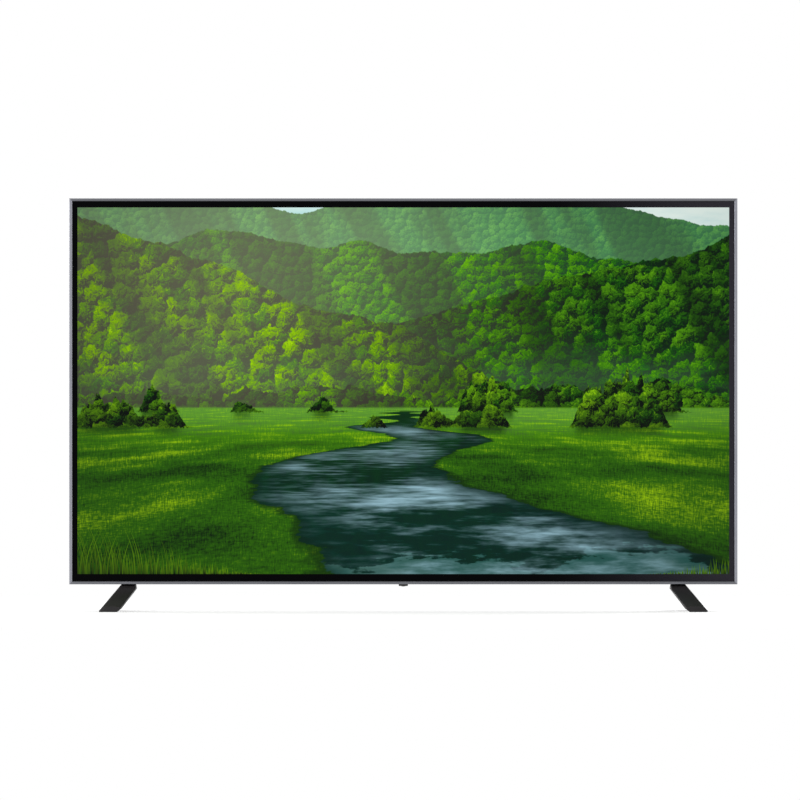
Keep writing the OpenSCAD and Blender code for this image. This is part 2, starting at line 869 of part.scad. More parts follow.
module back_pan() {
    edge = inset(outer, frame_wall + skirt_gap);
    slot_half = ribbon_w / 2 + ribbon_slot_side;
    color([0.09, 0.09, 0.1]) in_set() difference() {
        union() {
            ring(edge, inset(outer, skirt_in), skirt_front, flange_back);
            sheet(edge, flange_front, flange_back);
            tapered(
                pan_wall(flange_front, pan_side), flange_front, pan_wall(pan_back, pan_side), pan_back
            );
            pan_ribs();
        }
        tapered(pan_wall(flange_front - over, 0), flange_front - over, pan_wall(floor_front, 0), floor_front);
        at_frame_screws() cylinder(r = frame_screw_r + screw_gap, h = frame_screw_l + 1);
        at_supports() translate([0, 0, reflector_front - pan_back - over])
            cylinder(r = stud_r + screw_gap, h = pan_back);
        for (x = [-ribbon_x, ribbon_x])
            block(
                [x - slot_half, x + slot_half], [flange_front - over, flange_back + over],
                [driver_high - ribbon_slot_gap, driver_high + ribbon_t + ribbon_slot_gap]
            );
        for (p = cover_screw_places)
            rod_y(p[0], p[1], cover_screw_r + screw_gap, [floor_front - over, pan_back + over]);
        at_bracket_screws() translate([0, 0, -over])
            cylinder(r = cover_screw_r + screw_gap, h = pan_t + 2 * over);
    }
}

// Boards
module board(r) {
    difference() {
        sheet(r, board_front, board_back);
        at_screws_of(r) translate([0, 0, -over])
            cylinder(r = board_screw_r + screw_gap, h = board_t + 2 * over);
    }
}

module at_screws_of(r) {
    for (x = [r[0] + screw_in, r[1] - screw_in], h = [r[2] + screw_in, r[3] - screw_in])
        translate([x, board_front, h]) rotate([-90, 0, 0]) children();
}

module at_board_screws() {
    for (r = board_rects) at_screws_of(r) children();
}

module main_board() {
    color("darkgreen") in_set() board(main_rect);
}

module timing_board() {
    color("darkgreen") in_set() board(timing_rect);
}

module power_board() {
    color("burlywood") in_set() board(power_rect);
}

module wifi_board() {
    can_in = 8;
    can_h = 2;
    color("darkgreen") in_set() {
        board(wifi_rect);
        sheet(inset(wifi_rect, can_in), board_back, board_back + can_h);
    }
}

module main_heat_sink() {
    edge_in = 28;
    x = main_rect[0] + edge_in;
    h = (board_low + board_high) / 2 - sink_w / 2;
    base_t = 3;
    fin_t = 1.6;
    fins = 8;
    pitch = (sink_w - fin_t) / (fins - 1);
    color("darkgray") in_set() {
        block([x, x + sink_w], [board_back, board_back + base_t], [h, h + sink_w]);
        for (i = [0 : fins - 1]) {
            fin = x + i * pitch;
            block([fin, fin + fin_t], [board_back, board_back + base_t + fin_h], [h, h + sink_w]);
        }
    }
}

module power_transformers() {
    core = [38, 22, 34];
    coil_in = 7;
    coil_out = 5;
    coil_high = board_back + core[1] - 4;
    x = power_rect[0] + 84;
    color("goldenrod") in_set() for (up = [90, 140]) {
        h = board_low + up;
        block([x, x + core[0]], [board_back, board_back + core[1]], [h, h + core[2]]);
        block(
            [x + coil_in, x + core[0] - coil_in], [board_back, coil_high],
            [h - coil_out, h + core[2] + coil_out]
        );
    }
}

module power_capacitors() {
    can_r = 10;
    can_h = 24;
    x = power_rect[0] + 40;
    color("midnightblue") in_set() for (up = [80, 104, 128])
        rod_y(x, board_low + up, can_r, [board_back, board_back + can_h]);
}

// Plug blocks on the boards, for the harness and the flat cables
module board_headers() {
    flat_depth = [board_back, board_back + flat_header_h];
    harness_half = harness_w / 2 + header_side;
    ribbon_half = ribbon_w / 2 + header_side;
    color("ivory") in_set() {
        for (x = [power_rect[1] - screw_in - header_l, main_rect[0] + screw_in])
            block(
                [x, x + header_l], [board_back, board_back + header_h],
                [harness_height - harness_half, harness_height + harness_half]
            );
        for (x = [timing_rect[1] - screw_in - header_l, main_rect[0] + screw_in])
            block(
                [x, x + header_l], flat_depth,
                [main_ribbon_low - header_side, main_ribbon_low + main_ribbon_w + header_side]
            );
        for (x = [-ribbon_x, ribbon_x])
            block(
                [x - ribbon_half, x + ribbon_half], flat_depth,
                [timing_low + header_side, timing_low + header_side + flat_header_d]
            );
    }
}

module board_standoffs() {
    color("silver") in_set() at_board_screws() difference() {
        translate([0, 0, -standoff_h]) cylinder(r = standoff_r, h = standoff_h);
        translate([0, 0, -standoff_h / 2]) cylinder(r = board_screw_r + screw_gap, h = standoff_h);
    }
}

module board_screws() {
    tip_gap = 1;
    head_r = board_screw_r * 1.8;
    head_h = 1.8;
    color("gainsboro") in_set() at_board_screws() {
        translate([0, 0, tip_gap - standoff_h / 2]) cylinder(r = board_screw_r, h = standoff_h / 2 + board_t);
        translate([0, 0, board_t]) cylinder(r = head_r, h = head_h);
    }
}

module power_harness() {
    out = board_back + header_h / 2;
    back = pan_back + harness_t;
    start = power_rect[1] - screw_in;
    end = main_rect[0] + screw_in;
    straight = 14;
    bend = 30;
    route = [
        [start, out], [start + straight, out], [start + bend, back],
        [end - bend, back], [end - straight, out], [end, out]
    ];
    color("firebrick") in_set() translate([0, 0, harness_height - harness_w / 2])
        linear_extrude(harness_w) polygon(strip(route, harness_t));
}

module main_ribbon() {
    color("white") in_set() block(
        [timing_rect[1] - screw_in, main_rect[0] + screw_in],
        [cable_level - ribbon_t / 2, cable_level + ribbon_t / 2],
        [main_ribbon_low, main_ribbon_low + main_ribbon_w]
    );
}

// Terminals, numbered from the lowest
function terminal(i) = board_low + terminal_end + i * terminal_pitch;

module socket(i, w, h, l) {
    block([bay_x - l, bay_x], [board_back, board_back + h], [terminal(i) - w / 2, terminal(i) + w / 2]);
}

// The shell of a socket: its mouth is open over all but its sealed end
module socket_shell(i, w, h, l) {
    sealed = 3;
    depth = [board_back + socket_wall, board_back + h - socket_wall];
    difference() {
        socket(i, w, h, l);
        block(
            [bay_x - l + sealed, bay_x + over], depth,
            [terminal(i) - w / 2 + socket_wall, terminal(i) + w / 2 - socket_wall]
        );
    }
}

// The tongue inside a socket, w wide and l long, between two depths, short of its mouth
module tongue(i, w, l, depth) {
    short = 1.2;
    block([bay_x - l, bay_x - short], depth, [terminal(i) - w / 2, terminal(i) + w / 2]);
}

module hdmi_sockets() {
    middle = board_back + hdmi_h / 2;
    half_t = 0.55;
    narrower = 3.6;
    color("silver") in_set() for (i = [4 : 6]) {
        socket_shell(i, hdmi_w, hdmi_h, hdmi_l);
        tongue(i, hdmi_w - narrower, hdmi_l - 2, [middle - half_t, middle + half_t]);
    }
}

module usb_sockets() {
    tongue_back = board_back + usb_h - 2 * socket_wall;
    tongue_t = 1.9;
    narrower = 2.4;
    color("gainsboro") in_set() for (i = [2 : 3]) {
        socket_shell(i, usb_w, usb_h, usb_l);
        tongue(i, usb_w - narrower, usb_l - 2, [tongue_back - tongue_t, tongue_back]);
    }
}

module network_socket() {
    latch_w = 6;
    latch_h = 2;
    mouth_back = board_back + network_sole + network_mouth_h;
    color([0.12, 0.12, 0.13]) in_set() difference() {
        socket(7, network_w, network_h, network_l);
        block(
            [bay_x - network_mouth_l, bay_x + over], [board_back + network_sole, mouth_back],
            [terminal(7) - network_mouth_w / 2, terminal(7) + network_mouth_w / 2]
        );
        block(
            [bay_x - network_mouth_l, bay_x + over], [mouth_back - over, mouth_back + latch_h],
            [terminal(7) - latch_w / 2, terminal(7) + latch_w / 2]
        );
    }
}

module antenna_socket() {
    shell_end = bay_x - cover_wall - fit_gap;
    end = bay_x + antenna_reach;
    rim = 1.2;
    dish = 1;
    color("silver") in_set() difference() {
        union() {
            block(
                [shell_end - tuner_l, shell_end], [board_back, board_back + tuner_h],
                [terminal(8) - tuner_w / 2, terminal(8) + tuner_w / 2]
            );
            rod_x(board_back + antenna_up, terminal(8), antenna_collar_r, [shell_end - over, bay_x]);
            rod_x(board_back + antenna_up, terminal(8), antenna_r, [shell_end - over, end]);
        }
        rod_x(board_back + antenna_up, terminal(8), antenna_r - rim, [end - dish, end + over]);
    }
}

module audio_jacks() {
    color([0.1, 0.1, 0.11]) in_set() for (i = [0 : 1]) difference() {
        socket(i, jack_w, jack_h, jack_l);
        rod_x(board_back + jack_up, terminal(i), jack_r, [bay_x - jack_depth, bay_x + over]);
    }
}

module mains_inlet() {
    mid = board_back + inlet_h / 2;
    cavity = inlet_recess + over;
    pin_in = 2;
    color([0.08, 0.08, 0.08]) in_set() {
        difference() {
            block(
                [-bay_x, -bay_x + inlet_l], [board_back, board_back + inlet_h],
                [inlet_height - inlet_w / 2, inlet_height + inlet_w / 2]
            );
            translate([-bay_x - over, mid, inlet_height]) rotate([0, 90, 0])
                linear_extrude(cavity) racetrack(inlet_cavity_w, inlet_cavity_h);
        }
        for (side = [-1, 1]) {
            pin_height = inlet_height + side * inlet_pin_gap / 2;
            rod_x(mid, pin_height, inlet_pin_r, [-bay_x + pin_in, -bay_x + inlet_recess + over]);
        }
    }
}

// Speakers: side is -1 on the left and 1 on the right
module speaker_box(side) {
    x = side * speaker_x;
    ends = [x - speaker_w / 2, x + speaker_w / 2];
    inner = [ends[0] + speaker_wall, ends[1] - speaker_wall];
    depth = [speaker_front, speaker_front + speaker_d];
    height = [speaker_low, speaker_low + speaker_h];
    grommet_r = standoff_r + 1;
    window = 4;
    color([0.1, 0.1, 0.1]) in_set() difference() {
        union() {
            block(ends, depth, height);
            block([ends[0] - ear_l, ends[1] + ear_l], [ear_front, ear_front + ear_t],
                [ear_height - ear_h / 2, ear_height + ear_h / 2]);
            for (s = [-1, 1]) rod_y(x + s * ear_x, ear_height, grommet_r, [pan_back, ear_front + ear_t]);
        }
        block(inner, [depth[0] + speaker_wall, depth[1] - speaker_wall],
            [height[0] + speaker_wall, height[1] - speaker_wall]);
        translate([x, speaker_mid, speaker_low - over]) linear_extrude(speaker_wall + 2 * over)
            racetrack(cone_l + window, cone_w + window);
    }
}

module speaker_driver(side) {
    plate_high = plate_low + top_plate_t;
    yoke_low = plate_high + magnet_h;
    bore_r = coil_r + coil_t + coil_gap;
    pole_r = coil_r - coil_gap;
    post_l = cone_l / 2 + flange_reach / 2;
    arm = [-4, 4];
    arm_t = 1.5;
    color([0.25, 0.25, 0.27]) in_set() translate([side * speaker_x, speaker_mid, 0]) {
        difference() {
            union() {
                translate([0, 0, basket_low]) linear_extrude(flange_t)
                    racetrack(cone_l + 2 * flange_reach, cone_w + 2 * flange_reach);
                for (s = [-post_l, post_l]) block([s - arm_t, s + arm_t], arm, [basket_low, plate_high]);
                block([-post_l - arm_t, post_l + arm_t], arm, [plate_low, plate_high]);
                translate([0, 0, plate_low]) cylinder(r = magnet_r, h = top_plate_t + magnet_h);
            }
            translate([0, 0, basket_low - over]) linear_extrude(flange_t + 2 * over)
                racetrack(cone_l + 2 * fit_gap, cone_w + 2 * fit_gap);
            translate([0, 0, plate_low - over]) cylinder(r = bore_r, h = top_plate_t + magnet_h + 2 * over);
        }
        translate([0, 0, yoke_low]) cylinder(r = magnet_r, h = yoke_t);
        translate([0, 0, plate_low]) cylinder(r = pole_r, h = yoke_low - plate_low + yoke_t);
    }
}

module speaker_cone(side) {
    coil_high = plate_low + top_plate_t + magnet_h / 2;
    color([0.16, 0.16, 0.17]) in_set() translate([side * speaker_x, speaker_mid, 0]) {
        translate([0, 0, cone_low]) linear_extrude(cone_t) racetrack(cone_l, cone_w);
        difference() {
            translate([0, 0, cone_low]) cylinder(r = coil_r + coil_t, h = coil_high - cone_low);
            translate([0, 0, cone_low + cone_t]) cylinder(r = coil_r, h = coil_high);
        }
    }
}

module left_speaker_box() { speaker_box(-1); }
module right_speaker_box() { speaker_box(1); }
module left_speaker_driver() { speaker_driver(-1); }
module right_speaker_driver() { speaker_driver(1); }
module left_speaker_cone() { speaker_cone(-1); }
module right_speaker_cone() { speaker_cone(1); }

// Rear cover
module cover_block(wall) {
    front = wall > 0 ? cover_front - over : cover_front;
    tapered(
        inset(wing_rect, wall), front,
        inset(raise_top(wing_rect, wing_draft), wall), wing_back - wall
    );
    tapered(
        inset(tower_rect, wall), front,
        inset(raise_top(tower_rect, tower_draft), wall), tower_back - wall
    );
}

// A rectangle drawn in on its sides and top, with its lower edge kept
function raise_top(r, d) = [r[0] + d, r[1] - d, r[2], r[3] - d];

// The plug bays at the two sides of the middle block, grown by a wall
module plug_bays(grow) {
    reach = tower_w / 2 + 3 * tower_draft;
    block([bay_x - grow, reach], [floor_front, tower_back + over + grow], [bay_low - grow, bay_high + grow]);
    block(
        [-reach, -bay_x + grow], [floor_front, tower_back + over + grow],
        [inlet_height - inlet_bay / 2 - grow, inlet_height + inlet_bay / 2 + grow]
    );
}

module terminal_holes() {
    g = fit_gap;
    x = [bay_x - cover_wall - over, bay_x + over];
    sizes = [
        [0, jack_w, jack_h], [1, jack_w, jack_h], [2, usb_w, usb_h], [3, usb_w, usb_h], [4, hdmi_w, hdmi_h],
        [5, hdmi_w, hdmi_h], [6, hdmi_w, hdmi_h], [7, network_w, network_h]
    ];
    for (s = sizes) {
        half = s[1] / 2 + g;
        block(x, [board_back - g, board_back + s[2] + g], [terminal(s[0]) - half, terminal(s[0]) + half]);
    }
    rod_x(board_back + antenna_up, terminal(8), antenna_collar_r + g, x);
    block(
        [-bay_x - over, -bay_x + cover_wall + over], [board_back - g, board_back + inlet_h + g],
        [inlet_height - inlet_w / 2 - g, inlet_height + inlet_w / 2 + g]
    );
}

module cooling_slots() {
    top = cover_low + tower_h;
    for (side = [-1, 1], i = [0 : vent_count - 1]) {
        x = side * vent_x + (i - (vent_count - 1) / 2) * vent_pitch;
        slot = [x - slot_w / 2, x + slot_w / 2];
        block(slot, [tower_back - 2 * cover_wall, tower_back + over], [vent_low, vent_low + slot_l]);
        block(slot, [pan_back + vent_in, tower_back - vent_in], [top - 2 * tower_draft, top + over]);
    }
}

module speaker_slots() {
    pitch = 2 * slot_w;
    count = floor(cone_l / pitch);
    for (side = [-1, 1], i = [0 : count]) {
        x = side * speaker_x + (i - count / 2) * pitch;
        block([x - slot_w / 2, x + slot_w / 2], [speaker_mid - cone_w / 2, speaker_mid + cone_w / 2],
            [cover_low - over, cover_floor + over]);
    }
}

module rear_cover() {
    g = fit_gap;
    clear = pan_side + g * slant;
    neck_depth = [sensor_front + neck_in - g, sensor_front + sensor_d - neck_in + g];
    floor_cut = [cover_low - over, cover_floor + over];
    color([0.07, 0.07, 0.075]) in_set() difference() {
        union() {
            difference() {
                cover_block(0);
                difference() {
                    cover_block(cover_wall);
                    plug_bays(cover_wall);
                }
            }
            for (p = cover_screw_places) rod_y(p[0], p[1], boss_r, [pan_back, p[2] - cover_wall]);
        }
        plug_bays(0);
        tapered(pan_wall(cover_front - over, clear), cover_front - over, pan_wall(pan_back, clear), pan_back);
        for (p = cover_screw_places) {
            rod_y(p[0], p[1], cover_head_r + 2 * fit_gap, [pan_back + boss_land, p[2] + over]);
            rod_y(p[0], p[1], cover_screw_r + screw_gap, [pan_back - over, p[2]]);
        }
        for (p = vesa_places) rod_y(p[0], p[1], post_r + g, [tower_back - 2 * cover_wall, tower_back + over]);
        for (side = [-1, 1])
            block(
                [side * hub_x - hub_w / 2 - g, side * hub_x + hub_w / 2 + g],
                [hub_depth - hub_l / 2 - g, hub_depth + hub_l / 2 + g], floor_cut
            );
        block([-sensor_w / 2 + neck_side - g, sensor_w / 2 - neck_side + g], neck_depth, floor_cut);
        terminal_holes();
        cooling_slots();
        speaker_slots();
    }
}

module cover_screws() {
    color("dimgray") in_set() for (p = cover_screw_places) {
        head = pan_back + boss_land;
        rod_y(p[0], p[1], cover_screw_r, [pan_back - cover_screw_tip, head]);
        rod_y(p[0], p[1], cover_head_r, [head, head + cover_head_h]);
    }
}

module vesa_posts() {
    color("silver") in_set() for (p = vesa_places) difference() {
        union() {
            rod_y(p[0], p[1], post_foot_r, [pan_back, pan_back + post_foot_t]);
            rod_y(p[0], p[1], post_r, [pan_back, tower_back]);
        }
        rod_y(p[0], p[1], post_bore_r, [tower_back - post_bore_d, tower_back + over]);
    }
}

// Stand
module at_bracket_screws() {
    for (side = [-1, 1], s = [-1, 1], down = bracket_screw_downs)
        translate([side * hub_x + s * bracket_screw_x, floor_front, bracket_h - down])
            rotate([-90, 0, 0]) children();
}

module foot_brackets() {
    seat_high = bracket_low + bracket_t;
    web = pan_back + bracket_t;
    seat_back = hub_depth + hub_l / 2;
    gusset_in = 3;
    gusset_h = 40;
    gusset = [[web, seat_high], [seat_back - gusset_in, seat_high], [web, seat_high + gusset_h]];
    color("dimgray") in_set() difference() {
        for (side = [-1, 1]) {
            x = side * hub_x;
            ends = [x - bracket_w / 2, x + bracket_w / 2];
            block(ends, [hub_depth - hub_l / 2, seat_back], [bracket_low, seat_high]);
            block(ends, [pan_back, web], [bracket_low, bracket_h]);
            for (edge = [ends[0], ends[1] - bracket_t]) along_x([edge, edge + bracket_t]) polygon(gusset);
        }
        at_bracket_screws() cylinder(r = cover_screw_r + screw_gap, h = pan_t + bracket_t + over);
        at_foot_bolts() translate([0, 0, bracket_low - over])
            cylinder(r = bolt_r + screw_gap, h = bracket_t + 2 * over);
    }
}

module at_foot_bolts() {
    for (side = [-1, 1], y = [-1, 1]) translate([side * bolt_x, hub_depth + y * bolt_y, 0]) children();
}

// One foot: its outline seen from the front, cut by its outline seen from the side
module foot(side) {
    toe = outer_half - foot_inset;
    top = toe - foot_lean;
    front_outline = [
        [toe, 0], [toe - toe_w, 0], [top - foot_top_w - knee_out, stand_h - knee_h],
        [top - foot_top_w, stand_h], [top, stand_h]
    ];
    tip = foot_l / 2;
    side_outline = [
        [-tip, pad_t], [-tip, toe_h], [-leg_top_half, stand_h], [leg_top_half, stand_h], [tip, toe_h],
        [tip, pad_t], [tip - toe_l, pad_t], [arch_half, arch_h], [-arch_half, arch_h], [toe_l - tip, pad_t]
    ];
    hub = [hub_x - hub_w / 2, hub_x + hub_w / 2];
    bolt_high = stand_h + hub_rise;
    color([0.14, 0.14, 0.15]) mirror([side < 0 ? 1 : 0, 0, 0]) difference() {
        union() {
            intersection() {
                along_y([-tip - over, tip + over]) polygon(front_outline);
                along_x([0, outer_half]) polygon(side_outline);
            }
            block(hub, [-hub_l / 2, hub_l / 2], [stand_h - over, bolt_high]);
        }
        for (y = [-bolt_y, bolt_y]) {
            rod_z(bolt_x, y, bolt_head_r + fit_gap, [0, bolt_high - bolt_land]);
            rod_z(bolt_x, y, bolt_r + screw_gap, [0, bolt_high + over]);
        }
    }
}

module left_foot() { foot(-1); }
module right_foot() { foot(1); }

module foot_screws() {
    head_high = hub_rise - bolt_land;
    color("gray") in_set() {
        at_foot_bolts() {
            translate([0, 0, head_high - bolt_head_h]) cylinder(r = bolt_head_r, h = bolt_head_h);
            translate([0, 0, head_high]) cylinder(r = bolt_r, h = bolt_l);
        }
        at_bracket_screws() {
            translate([0, 0, pan_t - cover_screw_tip])
                cylinder(r = cover_screw_r, h = cover_screw_tip + bracket_t);
            translate([0, 0, pan_t + bracket_t]) cylinder(r = cover_head_r, h = cover_head_h);
        }
    }
}

module foot_pads() {
    toe = outer_half - foot_inset;
    lean = foot_lean * pad_t / stand_h;
    pad_w = toe_w - 2 * pad_in - lean;
    color([0.05, 0.05, 0.05]) for (side = [-1, 1], y = [-1, 1])
        translate([side * (toe - lean - pad_in - pad_w / 2), y * (foot_l - toe_l) / 2, pad_t / 2])
            cube([pad_w, toe_l - 2 * pad_in, pad_t], center = true);
}

// Power key and sensor
module sensor_housing() {
    w = sensor_wall;
    body = [-sensor_w / 2, sensor_w / 2];
    body_depth = [sensor_front, sensor_front + sensor_d];
    neck = [body[0] + neck_side, body[1] - neck_side];
    neck_depth = [body_depth[0] + neck_in, body_depth[1] - neck_in];
    hollow = [neck[0] + w, neck[1] - w];
    hollow_depth = [neck_depth[0] + w, neck_depth[1] - w];
    color([0.2, 0.19, 0.185]) in_set() difference() {
        union() {
            block(body, body_depth, [-sensor_drop, cover_low]);
            block(neck, neck_depth, [0, neck_top]);
        }
        block(hollow, hollow_depth, [sensor_floor, neck_top + over]);
        rod_z(0, sensor_mid, power_key_r + fit_gap, [-sensor_drop - over, sensor_floor + over]);
    }
}

module sensor_board() {
    edge = 1.5;
    half_w = sensor_w / 2 - edge;
    half_switch = switch_w / 2;
    half_receiver = receiver_w / 2;
    board_depth = [sensor_front + edge, sensor_front + sensor_d - edge];
    switch_depth = [sensor_mid - half_switch, sensor_mid + half_switch];
    switch_low = neck_top - switch_h;
    receiver_depth = [receiver_front, receiver_front + receiver_d];
    receiver_low = sensor_floor + 2 * fit_gap;
    lead_r = 0.3;
    bore_d = plunger_in + key_travel + fit_gap;
    color("darkgreen") in_set() difference() {
        union() {
            block([-half_w, half_w], board_depth, [neck_top, neck_top + board_t]);
            block([-half_switch, half_switch], switch_depth, [switch_low, neck_top]);
            block([-half_receiver, half_receiver], receiver_depth, [receiver_low, receiver_low + receiver_h]);
            for (x = [-1, 0, 1])
                rod_z(
                    x * receiver_w / 3, receiver_front + receiver_d / 2, lead_r,
                    [receiver_low + receiver_h / 2, neck_top + board_t / 2]
                );
        }
        rod_z(0, sensor_mid, plunger_r + fit_gap, [switch_low - over, switch_low + bore_d]);
    }
}

module power_key() {
    low = neck_top - switch_h;
    color([0.16, 0.15, 0.15]) in_set() {
        rod_z(0, sensor_mid, power_key_r, [-sensor_drop - key_reach, sensor_floor + over]);
        rod_z(0, sensor_mid, collar_r, [sensor_floor, sensor_floor + collar_t]);
        rod_z(0, sensor_mid, stem_r, [sensor_floor, low + plunger_in]);
    }
}

frame_top_rail();
frame_bottom_rail();
frame_left_rail();
frame_right_rail();
frame_corner_keys();
frame_screws();
front_gasket();
front_polariser();
colour_filter_glass();
array_glass();
rear_polariser();
driver_films();
driver_boards();
driver_ribbons();
panel_cushion();
middle_frame();
prism_film();
diffuser_film();
diffuser_plate();
diffuser_supports();
reflector_sheet();
led_bars();
led_chips();
led_lenses();
back_pan();
main_board();
main_heat_sink();
timing_board();
power_board();
power_transformers();
power_capacitors();
wifi_board();
board_headers();
board_standoffs();
board_screws();
power_harness();
main_ribbon();
hdmi_sockets();
usb_sockets();
network_socket();
antenna_socket();
audio_jacks();
mains_inlet();
left_speaker_box();
left_speaker_driver();
left_speaker_cone();
right_speaker_box();
right_speaker_driver();
right_speaker_cone();
rear_cover();
cover_screws();
vesa_posts();
foot_brackets();
left_foot();
right_foot();
foot_screws();
foot_pads();
sensor_housing();
sensor_board();
power_key();
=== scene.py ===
import functools
import json
import math

import bmesh
import bpy
from bpy.props import FloatProperty, FloatVectorProperty, PointerProperty
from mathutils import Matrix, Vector


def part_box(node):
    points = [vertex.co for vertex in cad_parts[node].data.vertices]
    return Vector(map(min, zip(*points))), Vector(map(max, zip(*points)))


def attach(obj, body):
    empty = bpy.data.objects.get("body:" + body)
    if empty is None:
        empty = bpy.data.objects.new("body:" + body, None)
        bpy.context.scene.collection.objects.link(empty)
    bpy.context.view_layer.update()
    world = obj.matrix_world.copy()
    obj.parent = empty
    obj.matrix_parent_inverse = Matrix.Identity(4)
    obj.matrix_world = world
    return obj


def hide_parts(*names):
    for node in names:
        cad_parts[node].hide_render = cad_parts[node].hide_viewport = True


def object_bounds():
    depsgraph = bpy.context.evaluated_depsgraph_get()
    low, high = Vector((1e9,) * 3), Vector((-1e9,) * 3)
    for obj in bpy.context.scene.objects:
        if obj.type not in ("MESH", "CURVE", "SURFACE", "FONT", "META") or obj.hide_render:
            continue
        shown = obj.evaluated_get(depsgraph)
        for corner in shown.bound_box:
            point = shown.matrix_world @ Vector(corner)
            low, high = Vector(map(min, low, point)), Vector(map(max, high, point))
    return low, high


bl_info = {
    "name": "Flat screen television",
    "version": (1, 0, 0),
    "blender": (4, 5, 0),
    "location": "View3D > Sidebar > Television",
    "description": "Dresses the solids of a flat screen television and sets up its studio view",
    "category": "Object",
}

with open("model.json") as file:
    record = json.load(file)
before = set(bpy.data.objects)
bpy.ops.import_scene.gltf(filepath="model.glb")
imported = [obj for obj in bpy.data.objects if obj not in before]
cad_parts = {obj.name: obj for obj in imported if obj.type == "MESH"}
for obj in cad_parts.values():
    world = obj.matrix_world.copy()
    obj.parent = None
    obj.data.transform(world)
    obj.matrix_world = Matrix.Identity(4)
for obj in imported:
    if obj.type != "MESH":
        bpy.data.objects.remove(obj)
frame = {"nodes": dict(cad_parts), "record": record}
CAD_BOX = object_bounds()
SET_BODY = "set_body"
MM = 0.001
CLOSE = 0.05 * MM  # places nearer than this count as one


def tone(red, green, blue):
    """A screen colour from 0 to 255 as the linear colour that shaders use."""
    steps = [c / 255 for c in (red, green, blue)]
    return tuple(c / 12.92 if c <= 0.04045 else ((c + 0.055) / 1.055) ** 2.4 for c in steps)


def solid(colour):
    """A colour with its alpha, as a colour socket takes it."""
    return (*colour[:3], 1.0)


def paint(red, green, blue):
    """A screen colour from 0 to 255 as a colour socket takes it."""
    return solid(tone(red, green, blue))


def shaded(colour, share):
    """A colour made darker, or lighter with a share over 1."""
    return solid([min(1.0, c * share) for c in colour[:3]])


def a_colour(name, description, default):
    return FloatVectorProperty(
        name=name, description=description, subtype="COLOR", size=3, min=0, max=1, default=default
    )


def a_length(name, description, default):
    return FloatProperty(
        name=name, description=description, subtype="DISTANCE", unit="LENGTH", min=0, default=default
    )


class TelevisionFrameLook(bpy.types.PropertyGroup):
    # one metal in two tones: the uprights' paler tone is painted light and the level rails' darker tone is
    # painted shade
    lit_upright_metal: a_colour("Side metal", "Colour of the upright rails", tone(141, 142, 150))
    shaded_level_metal: a_colour("Level metal", "Colour of the top and bottom rails", tone(107, 108, 113))
    edge: a_length("Edge", "Rounding of the rails' outer edges", 0.9 * MM)
    lip: a_length("Lip", "Chamfer along the rails' inner edges", 0.9 * MM)
    mouth_width: a_length("Mouth width", "Width of the opening between the upright rails", 1.4515)
    mouth_height: a_length("Mouth height", "Height of the opening between the level rails", 0.833)


class TelevisionScreenLook(bpy.types.PropertyGroup):
    picture_width: a_length("Picture width", "Width of the lit picture", 1.4285)
    picture_height: a_length("Picture height", "Height of the lit picture", 0.8035)
    picture_low: a_length("Picture foot", "Height of the picture's lower edge above the table", 0.0817)
    border: a_colour("Border", "Colour of the border round the picture", tone(4, 4, 5))
    # the border's paler right end is a painted reflection of a lamp, not a paler paint
    border_painted_sheen: a_colour("Border sheen", "Colour of the border's right end", tone(38, 37, 42))
    glow: FloatProperty(name="Glow", description="Brightness of the lit picture", min=0, default=1.0)


class TelevisionBackLook(bpy.types.PropertyGroup):
    plastic: a_colour("Cover plastic", "Colour of the rear cover", tone(42, 42, 44))
    edge: a_length("Cover edge", "Rounding of the rear cover's outer edges", 3.5 * MM)
    band_width: a_length("Band width", "Width of the ribbed band across the cover", 0.78)
    band_height: a_length("Band height", "Height of the ribbed band", 0.228)
    band_low: a_length("Band foot", "Height of the ribbed band's lower edge", 0.108)
    rib_pitch: a_length("Rib pitch", "Distance from rib to rib", 8 * MM)
    rib_rise: a_length("Rib rise", "Height of the ribs above the cover", 1.8 * MM)
    steel: a_colour("Pan steel", "Colour of the painted back pan", tone(50, 51, 54))


class TelevisionFootLook(bpy.types.PropertyGroup):
    plastic: a_colour("Foot plastic", "Colour of the feet", tone(30, 28, 29))
    crown: a_length("Crown", "Rise of the feet's toes from their sides to their middle", 4 * MM)
    shoulder: a_length("Shoulder", "Rounding of the feet's long upper edges outside", 3.5 * MM)
    inner_shoulder: a_length("Inner shoulder", "Rounding of the feet's long upper edges inside", 6 * MM)
    edge: a_length("Edge", "Rounding of the feet's other edges", 1 * MM)
    toe_reach: a_length("Toe reach", "Distance from the set's middle to the toes' middle", 0.6455)
    top_reach: a_length("Top reach", "Distance from the set's middle to the feet's tops", 0.60225)
    half_width: a_length("Half width", "Half the feet's width, square to their lean", 17.4 * MM)
    hub: a_length("Hub", "Height of the feet's upper ends, which stay sharp", 17 * MM)


class TelevisionNubLook(bpy.types.PropertyGroup):
    plastic: a_colour("Nub plastic", "Colour of the power key's housing", tone(30, 27, 26))
    edge: a_length("Nub edge", "Rounding of the housing's lower edges", 1.6 * MM)
    key_edge: a_length("Key edge", "Rounding of the key's rim", 0.7 * MM)


class TelevisionStageLook(bpy.types.PropertyGroup):
    distance: a_length("Camera distance", "Distance from the camera to the screen", 30.0)
    view_width: a_length("View width", "Width of the view at the screen", 1.7535)
    aim: FloatVectorProperty(
        name="Aim", description="Point that the camera looks at", subtype="TRANSLATION", unit="LENGTH",
        default=(-0.0073, -0.04, 0.4632),
    )
    floor: a_colour("Floor", "Colour of the floor", (0.86, 0.86, 0.86))
    ambient: FloatProperty(
        name="Ambient", description="Strength of the light from all round", min=0, default=0.4
    )


